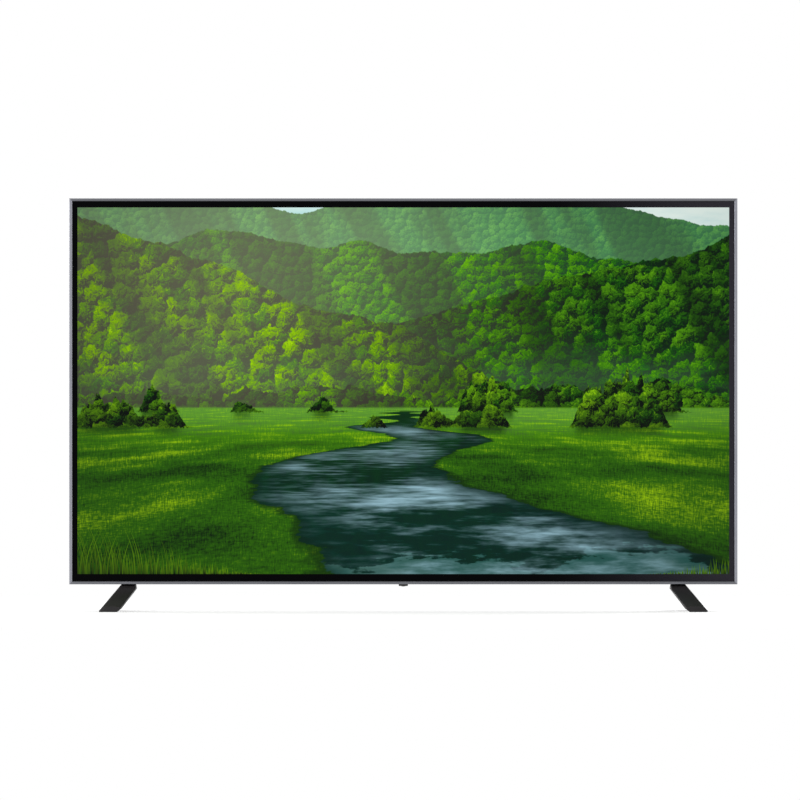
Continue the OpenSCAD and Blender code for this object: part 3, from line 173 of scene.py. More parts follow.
class Wiring:
    """Adds the nodes of one shader tree and links them."""

    def __init__(self, tree):
        self.tree = tree

    def feed(self, socket, value):
        if isinstance(value, bpy.types.NodeSocket):
            self.tree.links.new(value, socket)
        else:
            socket.default_value = value

    def add(self, kind, inputs=None, **settings):
        node = self.tree.nodes.new("ShaderNode" + kind)
        for name, value in settings.items():
            setattr(node, name, value)
        for name, value in (inputs or {}).items():
            self.feed(node.inputs[name], value)
        return node

    def math(self, operation, *values):
        return self.add("Math", dict(enumerate(values)), operation=operation).outputs[0]

    def plus(self, *values):
        return functools.reduce(lambda total, value: self.math("ADD", total, value), values)

    def times(self, first, second):
        return self.math("MULTIPLY", first, second)

    def scaled(self, value, factor, offset=0.0):
        return self.math("MULTIPLY_ADD", value, factor, offset)

    def vector(self, operation, *values):
        node = self.add("VectorMath", dict(enumerate(values)), operation=operation)
        return node.outputs["Value" if operation in ("DOT_PRODUCT", "DISTANCE", "LENGTH") else "Vector"]

    def mix(self, share, first, second, blend="MIX"):
        inputs = {0: share, 6: first, 7: second}
        return self.add("Mix", inputs, data_type="RGBA", blend_type=blend).outputs[2]

    def tinted(self, colour, tint):
        """A colour multiplied by another."""
        return self.mix(1.0, colour, tint, "MULTIPLY")

    def span(self, value, low, high, to_low=0.0, to_high=1.0):
        """The value's place between two limits, clamped and eased."""
        inputs = {"Value": value, "From Min": low, "From Max": high, "To Min": to_low, "To Max": to_high}
        return self.add("MapRange", inputs, interpolation_type="SMOOTHSTEP").outputs[0]

    def point(self, x, y):
        return self.add("CombineXYZ", {"X": x, "Y": y}).outputs[0]

    def here(self, scale=(1, 1, 1)):
        """The place on the object, stretched by a scale."""
        place = self.add("TexCoord").outputs["Object"]
        return self.add("Mapping", {"Vector": place, "Scale": scale}).outputs[0]

    def noise(self, place, scale=1.0, detail=2.0, roughness=0.5, size="3D", output=0):
        inputs = {"Scale": scale, "Detail": detail, "Roughness": roughness}
        inputs["W" if size == "1D" else "Vector"] = place
        return self.add("TexNoise", inputs, noise_dimensions=size).outputs[output]

    def cells(self, place, scale=1.0, size="2D", smoothness=0.0, **settings):
        inputs = {"Vector": place, "Scale": scale}
        if smoothness:
            settings["feature"] = "SMOOTH_F1"
            inputs["Smoothness"] = smoothness
        return self.add("TexVoronoi", inputs, voronoi_dimensions=size, **settings).outputs

    def bump(self, height, strength, distance, **normal):
        inputs = {"Height": height, "Strength": strength, "Distance": distance, **normal}
        return self.add("Bump", inputs).outputs[0]

    def use(self, group, **inputs):
        return self.add("Group", inputs, node_tree=group).outputs


def new_group(name, inputs, outputs):
    """A shader node group with its sockets, its wiring and its two end nodes."""
    group = bpy.data.node_groups.new(name, "ShaderNodeTree")
    kinds = {"value": "NodeSocketFloat", "vector": "NodeSocketVector", "colour": "NodeSocketColor"}
    for side, sockets in (("INPUT", inputs), ("OUTPUT", outputs)):
        for socket, kind in sockets.items():
            group.interface.new_socket(socket, in_out=side, socket_type=kinds[kind])
    start = group.nodes.new("NodeGroupInput")
    end = group.nodes.new("NodeGroupOutput")
    return group, Wiring(group), start.outputs, end.inputs


def soft_edge_group():
    """Rounds sharp edges in the light and finds where hands wear them."""
    group, w, given, out = new_group(
        "Soft edges", {"Radius": "value"}, {"Normal": "vector", "Worn": "value"}
    )
    rounded = w.add("Bevel", {"Radius": given["Radius"]}, samples=6).outputs[0]
    flat = w.add("NewGeometry").outputs["Normal"]
    turn = w.vector("DOT_PRODUCT", rounded, flat)
    patches = w.noise(w.here(), 60, 3)
    w.feed(out["Normal"], rounded)
    w.feed(out["Worn"], w.times(w.span(turn, 0.985, 0.82), w.span(patches, 0.3, 0.7)))
    return group


def moulded_grain_group():
    """The fine spark-eroded grain of a plastic mould, and its slow change of tone."""
    group, w, given, out = new_group(
        "Moulded grain", {"Scale": "value"}, {"Height": "value", "Mottle": "value"}
    )
    place = w.here()
    grains = w.cells(place, given["Scale"], "3D", smoothness=1.0)["Distance"]
    fine = w.noise(place, w.times(given["Scale"], 2.3), 2)
    w.feed(out["Height"], w.plus(w.scaled(grains, 0.7), w.scaled(fine, 0.5)))
    w.feed(out["Mottle"], w.noise(place, 9, 5, 0.6))
    return group


def brush_group():
    """Fine parallel scratches: streaks along the direction that the place is squeezed least in."""
    group, w, given, out = new_group(
        "Brushed lines", {"Place": "vector"}, {"Streak": "value", "Cloud": "value"}
    )
    lines = w.noise(given["Place"], 1, 4, 0.7)
    broad = w.noise(given["Place"], 0.13, 2)
    w.feed(out["Streak"], w.plus(w.scaled(lines, 0.65), w.scaled(broad, 0.35)))
    w.feed(out["Cloud"], w.noise(w.here(), 4, 3))
    return group


def tree_crown_group():
    """A wooded slope seen from far off: soft crowns in the sun, one to a unit of the given place."""
    group, w, given, out = new_group(
        "Tree crowns",
        {"Place": "vector", "Shade": "colour", "Leaf": "colour", "Sun": "colour"}, {"Colour": "colour"},
    )

    def lit_side(spot, cells):
        """How far a spot lies on the sunny side of its cell's middle."""
        sun_from = (-0.5, 0.86, 0)
        return w.vector("DOT_PRODUCT", w.vector("SUBTRACT", spot, cells["Position"]), sun_from)

    wobble = w.noise(given["Place"], 1.7, 4, 0.6, size="2D", output=1)
    place = w.vector("MULTIPLY_ADD", wobble, (0.9, 0.9, 0), given["Place"])
    crowns = w.cells(place, smoothness=0.35)
    light = lit_side(place, crowns)
    bough_place = w.vector("MULTIPLY", place, (2.7, 3.1, 1))
    bough_light = lit_side(bough_place, w.cells(bough_place))
    leaves = w.noise(place, 7, 5, 0.78, size="2D")
    tree = w.add("SeparateXYZ", {0: crowns["Color"]}).outputs
    level = w.plus(
        w.scaled(light, 0.75, 0.14), w.scaled(bough_light, 0.42), w.scaled(leaves, 2.1, -1.05),
        w.scaled(tree[1], 0.4, -0.2), w.scaled(crowns["Distance"], -0.25),
    )
    leaf = w.mix(w.scaled(tree[0], 0.5), given["Leaf"], given["Sun"])
    low = w.mix(w.span(level, -0.35, 0.4), given["Shade"], leaf)
    w.feed(out["Colour"], w.mix(w.span(level, 0.3, 1.05), low, given["Sun"]))
    return group


class Valley:
    """Paints the lit picture: misty wooded hills, a meadow and a winding river."""

    horizon = 0.47
    farthest = 0.012  # the ground begins this far below the horizon
    river_half = 1.3
    sun = (-0.55, 1.0, 0)
    mist = paint(160, 200, 160)
    # crest and its slope, rise and pitch of its swell and of its tree tops, seed, size of the trees'
    # crowns, veil at the crest and at the foot, colours in the shade, of the leaves and in the sun
    hills = (
        (1.02, -0.05, (0.3, 1.5), (0.01, 70), 4.0, 0.015, 0.2, 0.22,
         ((40, 94, 64), (72, 130, 78), (124, 176, 100))),
        (0.89, -0.07, (0.34, 1.2), (0.014, 52), 9.2, 0.021, 0.05, 0.2,
         ((8, 54, 22), (44, 108, 30), (122, 182, 56))),
        (0.7, 0.26, (0.18, 1.5), (0.022, 34), 2.4, 0.031, 0.01, 0.12,
         ((3, 30, 12), (30, 90, 18), (112, 172, 40))),
        (0.64, -0.38, (0.16, 1.9), (0.026, 28), 7.7, 0.038, 0.0, 0.06,
         ((3, 26, 5), (46, 106, 12), (158, 204, 38))),
        (0.5, 0.0, (0.16, 3.4), (0.035, 34), 5.3, 0.027, 0.0, 0.0,
         ((2, 20, 8), (30, 84, 16), (120, 174, 44))),
    )
    mirrored_hills = hills[1:4]
    # foot, height, pitch and seed of each row of bushes, size of their crowns and their colours
    thickets = (
        (0.442, 0.1, 4.3, 12.6, 0.024, ((2, 20, 8), (34, 88, 16), (128, 180, 46))),
        (0.4, 0.17, 2.3, 6.3, 0.036, ((2, 18, 6), (40, 92, 14), (146, 192, 48))),
    )
    # pitch, seed, height and bow of each row of reeds
    fringe = ((150, 2.2, 0.2, 1.9), (120, 7.4, 0.16, -2.4), (95, 4.9, 0.13, 1.2))

    def __init__(self, wiring, crowns, across, up):
        self.w = wiring
        self.crowns = crowns
        self.across = across
        self.up = up

    def at(self, across, up, seed=0.0):
        """The place in the picture, squeezed by a scale each way."""
        return self.w.point(self.w.scaled(self.across, across, seed), self.w.scaled(self.up, up, seed * 0.37))

    def speckle(self, place, detail=3, roughness=0.6, scale=1):
        return self.w.noise(place, scale, detail, roughness, size="2D")

    def profile(self, pitch, seed, detail=3, roughness=0.6):
        """A random skyline across the picture."""
        return self.w.noise(self.w.scaled(self.across, pitch, seed), 1, detail, roughness, size="1D")

    def chance(self, number, seed):
        return self.w.add("TexWhiteNoise", {"W": self.w.plus(number, seed)}, noise_dimensions="1D").outputs[0]

    def wood(self, crown, seed, colours):
        """Trees with crowns of one size, or a plain green where the crowns' group isn't given."""
        shade, leaf, sun = (paint(*colour) for colour in colours)
        place = self.at(1 / crown, 0.9 / crown, seed)
        if not self.crowns:
            return self.w.mix(self.speckle(place), shade, leaf)
        return self.w.use(self.crowns, Place=place, Shade=shade, Leaf=leaf, Sun=sun)["Colour"]

    def hill(self, under, crest, slope, swell, tops, seed, crown, crest_veil, foot_veil, colours):
        """Lays one wooded hill over what is behind it."""
        w = self.w
        swell_rise, swell_pitch = swell
        tops_rise, tops_pitch = tops
        big = self.profile(swell_pitch, seed, roughness=0.45)
        fine = self.profile(tops_pitch, seed)
        height = w.plus(
            w.scaled(self.across, slope, crest),
            w.scaled(big, swell_rise, -swell_rise / 2), w.scaled(fine, tops_rise, -tops_rise / 2),
        )
        inside = w.math("SUBTRACT", height, self.up)
        wood = self.wood(crown, seed, colours)
        if not self.crowns:
            return w.mix(w.span(inside, 0.0, 0.01), under, wood)
        slant = w.plus(w.scaled(self.across, 5.0, seed), w.scaled(self.up, 2.4))
        spurs = self.speckle(w.point(slant, self.up))
        shaded_wood = w.tinted(wood, paint(92, 128, 116))
        wood = w.mix(w.span(spurs, 0.6, 0.4, 0.0, 0.8), wood, shaded_wood)
        drift = self.speckle(self.at(2.2, 7.0, seed), 4)
        fog = w.span(self.up, self.horizon + 0.3, self.horizon, 0.0, foot_veil)
        fog = w.times(fog, w.span(drift, 0.2, 0.7))
        veil = w.math("MAXIMUM", w.span(inside, 0.0, 0.35, crest_veil, crest_veil * 1.5), fog)
        return w.mix(w.span(inside, 0.0, 0.003), under, w.mix(veil, wood, self.mist))

    def backdrop(self):
        """All that stands behind the meadow."""
        w = self.w
        clouds = self.speckle(self.at(1.6, 5.2, 3.1), 6)
        picture = w.mix(w.span(clouds, 0.4, 0.7), paint(184, 218, 220), paint(238, 247, 242))
        for hill in self.hills if self.crowns else self.mirrored_hills:
            picture = self.hill(picture, *hill)
        if not self.crowns:
            return picture
        from_sun = w.vector("DISTANCE", self.at(1, 1), self.sun)
        return w.mix(w.span(from_sun, 1.2, 0.0, 0.0, 0.13), picture, paint(255, 251, 222))

    def ground(self, under):
        """Lays the meadow and the river from the horizon down."""
        w = self.w
        below = w.math("MAXIMUM", w.math("SUBTRACT", self.horizon, self.up), self.farthest)
        depth = w.math("DIVIDE", 1.0, below)
        sideways = w.times(self.across, depth)
        place = w.point(sideways, depth)
        patches = self.speckle(place, 6, 0.62, 0.5)
        tufts = self.speckle(w.point(w.scaled(sideways, 16), w.scaled(depth, 22)), 5, 0.75)
        stalks = self.speckle(self.at(260, 46, 1.7), 3, 0.75)
        level = w.plus(
            w.scaled(patches, 2.6, -1.15), w.scaled(tufts, 1.3, -0.6), w.scaled(stalks, 1.1, -0.55)
        )
        grass = w.mix(w.span(level, -0.7, 0.35), paint(8, 30, 10), paint(56, 104, 26))
        grass = w.mix(w.span(level, 0.2, 1.2), grass, paint(168, 200, 78))
        grass = w.mix(w.span(below, 0.16, 0.01, 0.0, 0.42), grass, paint(150, 194, 120))
        bend = w.math("SINE", w.scaled(depth, 0.7, 0.75))
        shore = self.speckle(place, 5, 0.6, 1.1)
        centre = w.plus(w.scaled(bend, 0.95, 0.1), w.scaled(shore, 0.7, -0.35))
        from_centre = w.math("ABSOLUTE", w.math("SUBTRACT", sideways, centre))
        water_in = w.math("SUBTRACT", self.river_half, from_centre)
        near = w.span(below, 0.022, 0.03)
        bank = w.mix(w.times(near, w.span(water_in, -0.1, 0.0, 0.0, 0.8)), grass, paint(26, 50, 20))
        river = w.times(near, w.span(water_in, 0.0, 0.02))
        meadow = w.mix(river, bank, self.water(depth, below, water_in))
        return w.mix(w.span(below, self.farthest, 0.02), under, meadow)

    def water(self, depth, below, water_in):
        """The river's surface: the hills upside down, broken by ripples."""
        w = self.w
        ripples = self.speckle(w.point(w.scaled(self.across, 9), w.scaled(depth, -8)), 4)
        swing = w.times(w.scaled(ripples, 1.0, -0.5), w.scaled(below, 0.24, 0.01))
        mirror = Valley(
            w, None, w.plus(self.across, w.scaled(swing, 0.3)),
            w.plus(w.scaled(self.up, -0.95, self.horizon * 1.95), swing),
        ).backdrop()
        dim = w.tinted(mirror, paint(150, 182, 170))
        deep = w.mix(w.span(below, 0.03, 0.4, 0.3, 0.72), dim, paint(3, 40, 42))
        gleam = self.speckle(self.at(1.5, 13.0, 8.4), 5, 0.62)
        bright = w.plus(w.scaled(gleam, 1.6, -0.8), w.scaled(ripples, 0.7, -0.35))
        bright = w.times(w.span(bright, -0.2, 0.6), w.span(water_in, 0.02, 0.7, 0.15, 0.8))
        river = w.mix(bright, deep, paint(184, 212, 224))
        edge = w.span(water_in, 0.12, 0.0, 0.0, 0.6)
        return w.mix(edge, river, paint(10, 40, 26))

    def thicket(self, under, foot, rise, pitch, seed, crown, colours):
        """Lays a row of bushes on the meadow, with their shadow below them."""
        w = self.w
        mass = self.profile(pitch, seed, 2, 0.5)
        fine = self.profile(30, seed)
        clump = w.span(mass, 0.5, 0.66)
        crest = w.times(clump, w.scaled(fine, rise * 0.9, rise * 0.3))
        ragged = self.speckle(self.at(150, 90, seed), 2)
        height = w.plus(self.up, w.scaled(ragged, 0.014, -0.007 - foot))
        under_crest = w.span(w.math("SUBTRACT", crest, height), 0.0, 0.003)
        inside = w.times(under_crest, w.span(height, -0.002, 0.002))
        wide = w.span(clump, 0.0, 0.6)
        shadow = w.times(wide, w.times(w.span(height, -0.035, 0.0), w.span(height, 0.004, 0.0)))
        dark = w.tinted(under, paint(90, 110, 90))
        wood = self.wood(crown, seed, colours)
        low = w.span(height, rise * 0.5, 0.0, 0.0, 0.6)
        wood = w.mix(low, wood, w.tinted(wood, paint(100, 120, 96)))
        return w.mix(inside, w.mix(w.scaled(shadow, 0.75), under, dark), wood)

    def reeds(self, under, pitch, seed, height, bow):
        """Lays a fringe of bent grass over the picture's lower edge, tallest in its corners."""
        w = self.w
        along = w.scaled(w.plus(self.across, w.scaled(w.times(self.up, self.up), bow)), pitch, seed)
        number = w.math("FLOOR", along)
        size = self.chance(number, seed)
        corner = w.span(w.math("ABSOLUTE", w.plus(self.across, -0.15)), 0.5, 1.05)
        tall = w.times(w.scaled(size, 0.75, 0.25), w.scaled(corner, height, 0.0001))
        rise = w.math("DIVIDE", self.up, tall)
        side = w.plus(w.math("FRACT", along), w.scaled(self.chance(number, seed + 3.7), 0.5, -0.75))
        inside = w.math("SUBTRACT", w.scaled(rise, -0.3, 0.3), w.math("ABSOLUTE", side))
        light = w.plus(w.scaled(rise, 0.6), w.scaled(self.chance(number, seed + 9.3), 0.4))
        return w.mix(w.span(inside, 0.0, 0.1), under, w.mix(light, paint(4, 22, 6), paint(126, 172, 44)))

    def colour(self):
        """The whole picture, dimmed towards its corners and graded."""
        w = self.w
        picture = self.ground(self.backdrop())
        for row in self.thickets:
            picture = self.thicket(picture, *row)
        for row in self.fringe:
            picture = self.reeds(picture, *row)
        from_middle = w.vector("DISTANCE", self.at(0.7, 1), (0, 0.5, 0))
        dimmed = w.tinted(picture, paint(150, 156, 156))
        picture = w.mix(w.span(from_middle, 0.35, 0.85, 0.0, 0.5), picture, dimmed)
        deep = w.add("Gamma", {"Color": picture, "Gamma": 1.14}).outputs[0]
        return w.add("HueSaturation", {"Color": deep, "Saturation": 1.2, "Value": 1.22}).outputs[0]


def bare_tree(holder):
    """The node tree of a material or a world, emptied."""
    holder.use_nodes = True
    holder.node_tree.nodes.clear()
    return holder.node_tree


class Finish(Wiring):
    """The wiring of a new material round its one shader."""

    def __init__(self, name):
        self.material = bpy.data.materials.new(name)
        super().__init__(bare_tree(self.material))
        self.shader = self.add("BsdfPrincipled")
        self.add("OutputMaterial", {"Surface": self.shader.outputs[0]})

    def shade(self, colour, rough, normal=None, **others):
        """Feeds the shader and gives the material."""
        sockets = {"Base Color": colour, "Roughness": rough, **others}
        if normal:
            sockets["Normal"] = normal
        for name, value in sockets.items():
            self.feed(self.shader.inputs[name.replace("_", " ")], value)
        return self.material

    def mottled(self, colour, mask, dark, pale, low=0.3, high=0.7):
        """A colour that changes with a mask from a darker to a paler one."""
        return self.mix(self.span(mask, low, high), shaded(colour, dark), shaded(colour, pale))

    def about(self, rough, mask, spread, low=0.3, high=0.7):
        """A roughness that changes with a mask."""
        return self.span(mask, low, high, rough - spread, rough + spread)


class Finishes:
    """The materials of the set, each made once and by name."""

    def __init__(self):
        self.edges = soft_edge_group()
        self.grain = moulded_grain_group()
        self.brush = brush_group()
        self.crowns = tree_crown_group()

    def moulded(
        self, name, colour, rough=0.5, scale=900, depth=0.12, edge=0.5 * MM, shine=0.5, wear=0.7,
        pore=0.2 * MM, pale=1.1,
    ):
        """Grained plastic, worn pale along its edges."""
        w = Finish(name)
        grain = w.use(self.grain, Scale=scale)
        soft = w.use(self.edges, Radius=edge)
        tint = w.mottled(colour, grain["Mottle"], 0.9, pale)
        return w.shade(
            w.mix(w.scaled(soft["Worn"], wear), tint, shaded(colour, 1.9)),
            w.about(rough, grain["Mottle"], 0.06, 0.25, 0.75),
            w.bump(grain["Height"], depth, pore, Normal=soft["Normal"]),
            Specular_IOR_Level=shine,
        )

    def metal(self, name, colour, rough=0.35, stretch=(500, 500, 6), edge=0.3 * MM, shade=None):
        """Bare metal with fine brushed lines, darkened where a shade is given."""
        w = Finish(name)
        brush = w.use(self.brush, Place=w.here(stretch))
        soft = w.use(self.edges, Radius=edge)
        tint = w.mottled(colour, brush["Streak"], 0.88, 1.1, 0.32, 0.68)
        tint = w.mix(w.scaled(soft["Worn"], 0.6), tint, shaded(colour, 1.35))
        if shade:
            tint = w.mix(shade(w), tint, shaded(colour, 0.45))
        smudge = w.scaled(brush["Cloud"], 0.12, -0.06)
        return w.shade(
            tint, w.plus(w.about(rough, brush["Streak"], 0.07), smudge),
            w.bump(brush["Streak"], 0.05, 0.05 * MM, Normal=soft["Normal"]), Metallic=1.0,
        )

    def painted(self, name, colour, rough=0.45, edge=0.5 * MM):
        """Powder-coated sheet steel with a light orange peel and settled dust."""
        w = Finish(name)
        place = w.here()
        peel = w.noise(place, 420, 3, 0.55)
        cloud = w.noise(place, 5, 6, 0.62)
        soft = w.use(self.edges, Radius=edge)
        tint = w.mottled(colour, cloud, 0.88, 1.14, 0.35)
        return w.shade(
            w.mix(w.scaled(soft["Worn"], 0.6), tint, shaded(colour, 2.2)),
            w.span(cloud, 0.3, 0.7, rough - 0.07, rough + 0.09),
            w.bump(peel, 0.1, 0.15 * MM, Normal=soft["Normal"]),
        )

    def board(self, name, mask, copper, pads):
        """A circuit board: lacquer over square-cornered tracks, with tinned pads."""
        w = Finish(name)
        place = w.here((1, 0.0, 1))
        lanes = w.cells(place, 120, "3D", distance="MANHATTAN")["Distance"]
        tracks = w.span(w.math("PINGPONG", w.scaled(lanes, 6.0), 0.5), 0.26, 0.32)
        pad = w.span(w.cells(place, 210, "3D")["Distance"], 0.16, 0.12)
        tint = w.mix(pad, w.mix(tracks, solid(mask), solid(copper)), solid(pads))
        return w.shade(tint, w.scaled(pad, -0.15, 0.42), w.bump(tracks, 0.15, 0.1 * MM))

    def soft(self, name, colour, rough=0.8):
        """Rubber or foam with a fine open pore."""
        w = Finish(name)
        pores = w.cells(w.here(), 1400, "3D")["Distance"]
        dust = w.noise(w.here(), 40, 4, 0.6)
        return w.shade(
            w.mottled(colour, dust, 0.85, 1.5, 0.35, 0.75),
            w.span(dust, 0.3, 0.7, rough - 0.1, rough + 0.08), w.bump(pores, 0.2, 0.1 * MM),
        )

    def film(self, name, colour, rough=0.3, ribs=0.0):
        """A thin optical sheet, with fine level ribs where it has any."""
        w = Finish(name)
        cloud = w.noise(w.here(), 3, 3)
        normal = None
        if ribs:
            waves = w.add("TexWave", {"Vector": w.here(), "Scale": 900.0}, bands_direction="Z").outputs[1]
            normal = w.bump(waves, ribs, 0.05 * MM)
        tint = w.mix(cloud, shaded(colour, 0.96), shaded(colour, 1.03))
        return w.shade(tint, w.about(rough, cloud, 0.05), normal)

    def clear(self, name, colour, rough=0.05):
        """Clear plastic or glass with a trace of haze."""
        w = Finish(name)
        haze = w.span(w.noise(w.here(), 30, 3), 0.4, 0.8, rough, rough + 0.08)
        return w.shade(solid(colour), haze, Transmission_Weight=1.0, IOR=1.5)

    def weave(self, name, colour):
        """Pressed cone paper with a woven face."""
        w = Finish(name)
        inputs = {"Vector": w.here(), "Scale": 260.0}
        warp, weft = (w.add("TexWave", inputs, bands_direction=run).outputs[1] for run in "XY")
        threads = w.times(warp, weft)
        tint = w.mix(threads, shaded(colour, 0.6), shaded(colour, 1.3))
        return w.shade(tint, 0.85, w.bump(threads, 0.3, 0.1 * MM))

    def matte_sheen(self, w):
        """The roughness of the screen's matte front."""
        return w.about(0.31, w.noise(w.here((40, 40, 40)), 1, 3), 0.03)

    def border(self, look):
        """The black mask behind the screen's matte film, with a painted reflection that makes it paler
        towards its right end.
        """
        w = Finish("screen border")
        cloud = w.noise(w.here(), 2.2, 2)
        tint = w.mix(cloud, shaded(look.border, 0.8), shaded(look.border, 1.2))
        rightward = w.add("SeparateXYZ", {0: w.here()}).outputs["X"]
        # painted reflection: the border grows paler towards its right end
        tint = w.mix(w.span(rightward, 0.3, 0.74), tint, solid(look.border_painted_sheen))
        return w.shade(tint, self.matte_sheen(w), Specular_IOR_Level=0.015)

    def picture(self, look):
        """The lit picture behind the screen's matte film."""
        w = Finish("lit picture")
        sheen = self.matte_sheen(w)
        w.material.cycles.emission_sampling = "NONE"
        place = w.add("SeparateXYZ", {0: w.add("TexCoord").outputs["Object"]}).outputs
        across = w.math("DIVIDE", place["X"], look.picture_height)
        up = w.math("DIVIDE", w.math("SUBTRACT", place["Z"], look.picture_low), look.picture_height)
        return w.shade(
            solid(look.border), sheen, Specular_IOR_Level=0.05,
            Emission_Color=Valley(w, self.crowns, across, up).colour(), Emission_Strength=look.glow,
        )


def deselect():
    if bpy.context.object and bpy.context.object.mode != "OBJECT":
        bpy.ops.object.mode_set(mode="OBJECT")
    bpy.ops.object.select_all(action="DESELECT")


def take(piece):
    """Selects one piece alone and makes it the active one."""
    deselect()
    piece.select_set(True)
    bpy.context.view_layer.objects.active = piece


def block(name, low, high):
    """A block between two corners, with its place in its mesh."""
    deselect()
    low, high = Vector(low), Vector(high)
    bpy.ops.mesh.primitive_cube_add(size=1, location=(low + high) / 2, scale=high - low)
    bpy.ops.object.transform_apply()
    piece = bpy.context.object
    piece.name = piece.data.name = name
    return piece


def merge_doubles():
    """Merges the points that share a place, on the piece in edit mode."""
    bpy.ops.mesh.select_all(action="SELECT")
    bpy.ops.mesh.remove_doubles(threshold=0.002 * MM)


def merged_copy(node, name):
    """A copy of a solid as a piece of its own, merged to whole faces and left in edit mode."""
    piece = bpy.data.objects.new(name, frame["nodes"][node].data.copy())
    piece.data.name = name
    piece.data.materials.clear()
    bpy.context.scene.collection.objects.link(piece)
    take(piece)
    bpy.ops.object.mode_set(mode="EDIT")
    merge_doubles()
    bpy.ops.mesh.dissolve_limited(angle_limit=math.radians(0.5))
    return piece


def bevel_where(piece, chosen, width, segments):
    """Bevels the edges of a piece in edit mode for which chosen(edge) holds."""
    bpy.ops.mesh.select_mode(type="EDGE")
    bpy.ops.mesh.select_all(action="DESELECT")
    mesh = bmesh.from_edit_mesh(piece.data)
    mesh.normal_update()
    count = 0
    for edge in mesh.edges:
        edge.select = len(edge.link_faces) == 2 and chosen(edge)
        count += edge.select
    bmesh.update_edit_mesh(piece.data)
    if not count:
        raise RuntimeError(f"{piece.name} has no edge to round")
    bpy.ops.mesh.bevel(offset=width, segments=segments, affect="EDGES")
    merge_doubles()


def finish_piece(piece, material=None, node=None, body=SET_BODY, angle=40):
    """Smooths a piece, gives it its finish and sets it on its body in the place of its solid."""
    take(piece)
    bpy.ops.object.shade_smooth_by_angle(angle=math.radians(angle))
    bpy.ops.object.modifier_add(type="WEIGHTED_NORMAL")
    piece.modifiers[-1].keep_sharp = True
    bpy.ops.object.modifier_apply(modifier=piece.modifiers[-1].name)
    if material:
        piece.data.materials.append(material)
    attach(piece, body)
    if node:
        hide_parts(node)


@functools.cache
def finishes():
    """The one set of materials that all the pieces share."""
    return Finishes()


class TELEVISION_OT_rails(bpy.types.Operator):
    """Make the four brushed rails of the frame, rounded outside and chamfered along the lip"""

    bl_idname = "television.rails"
    bl_label = "Frame rails"

    def execute(self, context):
        look = context.scene.television_frame
        high = CAD_BOX[1]
        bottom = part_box("frame_bottom_rail")[0].z
        middle = Vector((0, 0, (bottom + high.z) / 2))
        outer = Vector((high.x, 0, high.z - middle.z))
        inner = Vector((look.mouth_width / 2, 0, look.mouth_height / 2))

        def lip_shade(w):
            """The level rails' darkening along the inner edge, where the lip turns from the light."""
            height = w.add("SeparateXYZ", {0: w.here()}).outputs["Z"]
            outward = w.math("ABSOLUTE", w.scaled(height, 1.0, -middle.z))
            return w.span(outward, inner.z + 2.4 * MM, inner.z + 0.4 * MM)

        f = finishes()
        lines, along_lines = 700, 7
        # the uprights take the metal in a paler tone as painted light, the level rails in a darker tone as
        # painted shade
        upright = f.metal(
            "lit upright rail metal", look.lit_upright_metal, 0.36, (lines, lines, along_lines), 0.2 * MM
        )
        level = f.metal(
            "shaded level rail metal", look.shaded_level_metal, 0.36, (along_lines, lines, lines), 0.2 * MM, shade=lip_shade
        )
        for node, across, metal in (
            ("frame_left_rail", 0, upright), ("frame_right_rail", 0, upright),
            ("frame_top_rail", 2, level), ("frame_bottom_rail", 2, level),
        ):
            piece = merged_copy(node, node.replace("frame_", "") + "_brushed")
            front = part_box(node)[0].y

            def front_edge(edge, half):
                a, b = (v.co for v in edge.verts)
                straight = abs(a[across] - b[across]) < CLOSE and max(a.y, b.y) < front + CLOSE
                return straight and abs(abs(a[across] - middle[across]) - half) < CLOSE

            bevel_where(piece, lambda edge: front_edge(edge, outer[across]), look.edge, 3)
            bevel_where(piece, lambda edge: front_edge(edge, inner[across]), look.lip, 2)
            finish_piece(piece, metal, node, angle=30)
        return {"FINISHED"}


class TELEVISION_OT_screen(bpy.types.Operator):
    """Make the screen's face with its black border and its lit picture"""

    bl_idname = "television.screen"
    bl_label = "Screen"

    def execute(self, context):
        look = context.scene.television_screen
        low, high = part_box("front_polariser")
        piece = block("screen_face", low, high)
        half = look.picture_width / 2
        top = look.picture_low + look.picture_height
        cuts = (
            ((-half, 0, 0), (1, 0, 0)), ((half, 0, 0), (1, 0, 0)),
            ((0, 0, look.picture_low), (0, 0, 1)), ((0, 0, top), (0, 0, 1)),
        )
        bpy.ops.object.mode_set(mode="EDIT")
        for point, normal in cuts:
            bpy.ops.mesh.select_all(action="SELECT")
            bpy.ops.mesh.bisect(plane_co=point, plane_no=normal)
        deselect()
        piece.data.materials.append(finishes().border(look))
        piece.data.materials.append(finishes().picture(look))
        for face in piece.data.polygons:
            lit = abs(face.center.x) < half and look.picture_low < face.center.z < top
            face.material_index = int(lit and face.normal.y < -0.5)
        self.spread_map(piece, low, high)
        finish_piece(piece, node="front_polariser")
        return {"FINISHED"}

    def spread_map(self, piece, low, high):
        """Lays the front over nearly all of the map, and the back and the thin sides in a strip above it."""
        size = high - low
        spots = piece.data.uv_layers.new(name="OFBake").data
        front_share, strip = 0.97, 0.024
        back_share, sides_from, side_cell, side_fill = 0.9, 0.905, 0.007, 0.8
        sides = 0
        for face in piece.data.polygons:
            for corner in face.loop_indices:
                place = piece.data.vertices[piece.data.loops[corner].vertex_index].co - low
                x, y, z = place.x / size.x, place.y / size.y, place.z / size.z
                if face.normal.y < -0.5:
                    spot = (x, z * front_share)
                elif face.normal.y > 0.5:
                    spot = (x * back_share, 1 - strip + z * strip)
                else:
                    run = z if abs(face.normal.x) > 0.5 else x
                    spot = (sides_from + (sides + side_fill * y) * side_cell, 1 - strip + run * strip)
                spots[corner].uv = spot
            sides += abs(face.normal.y) < 0.5


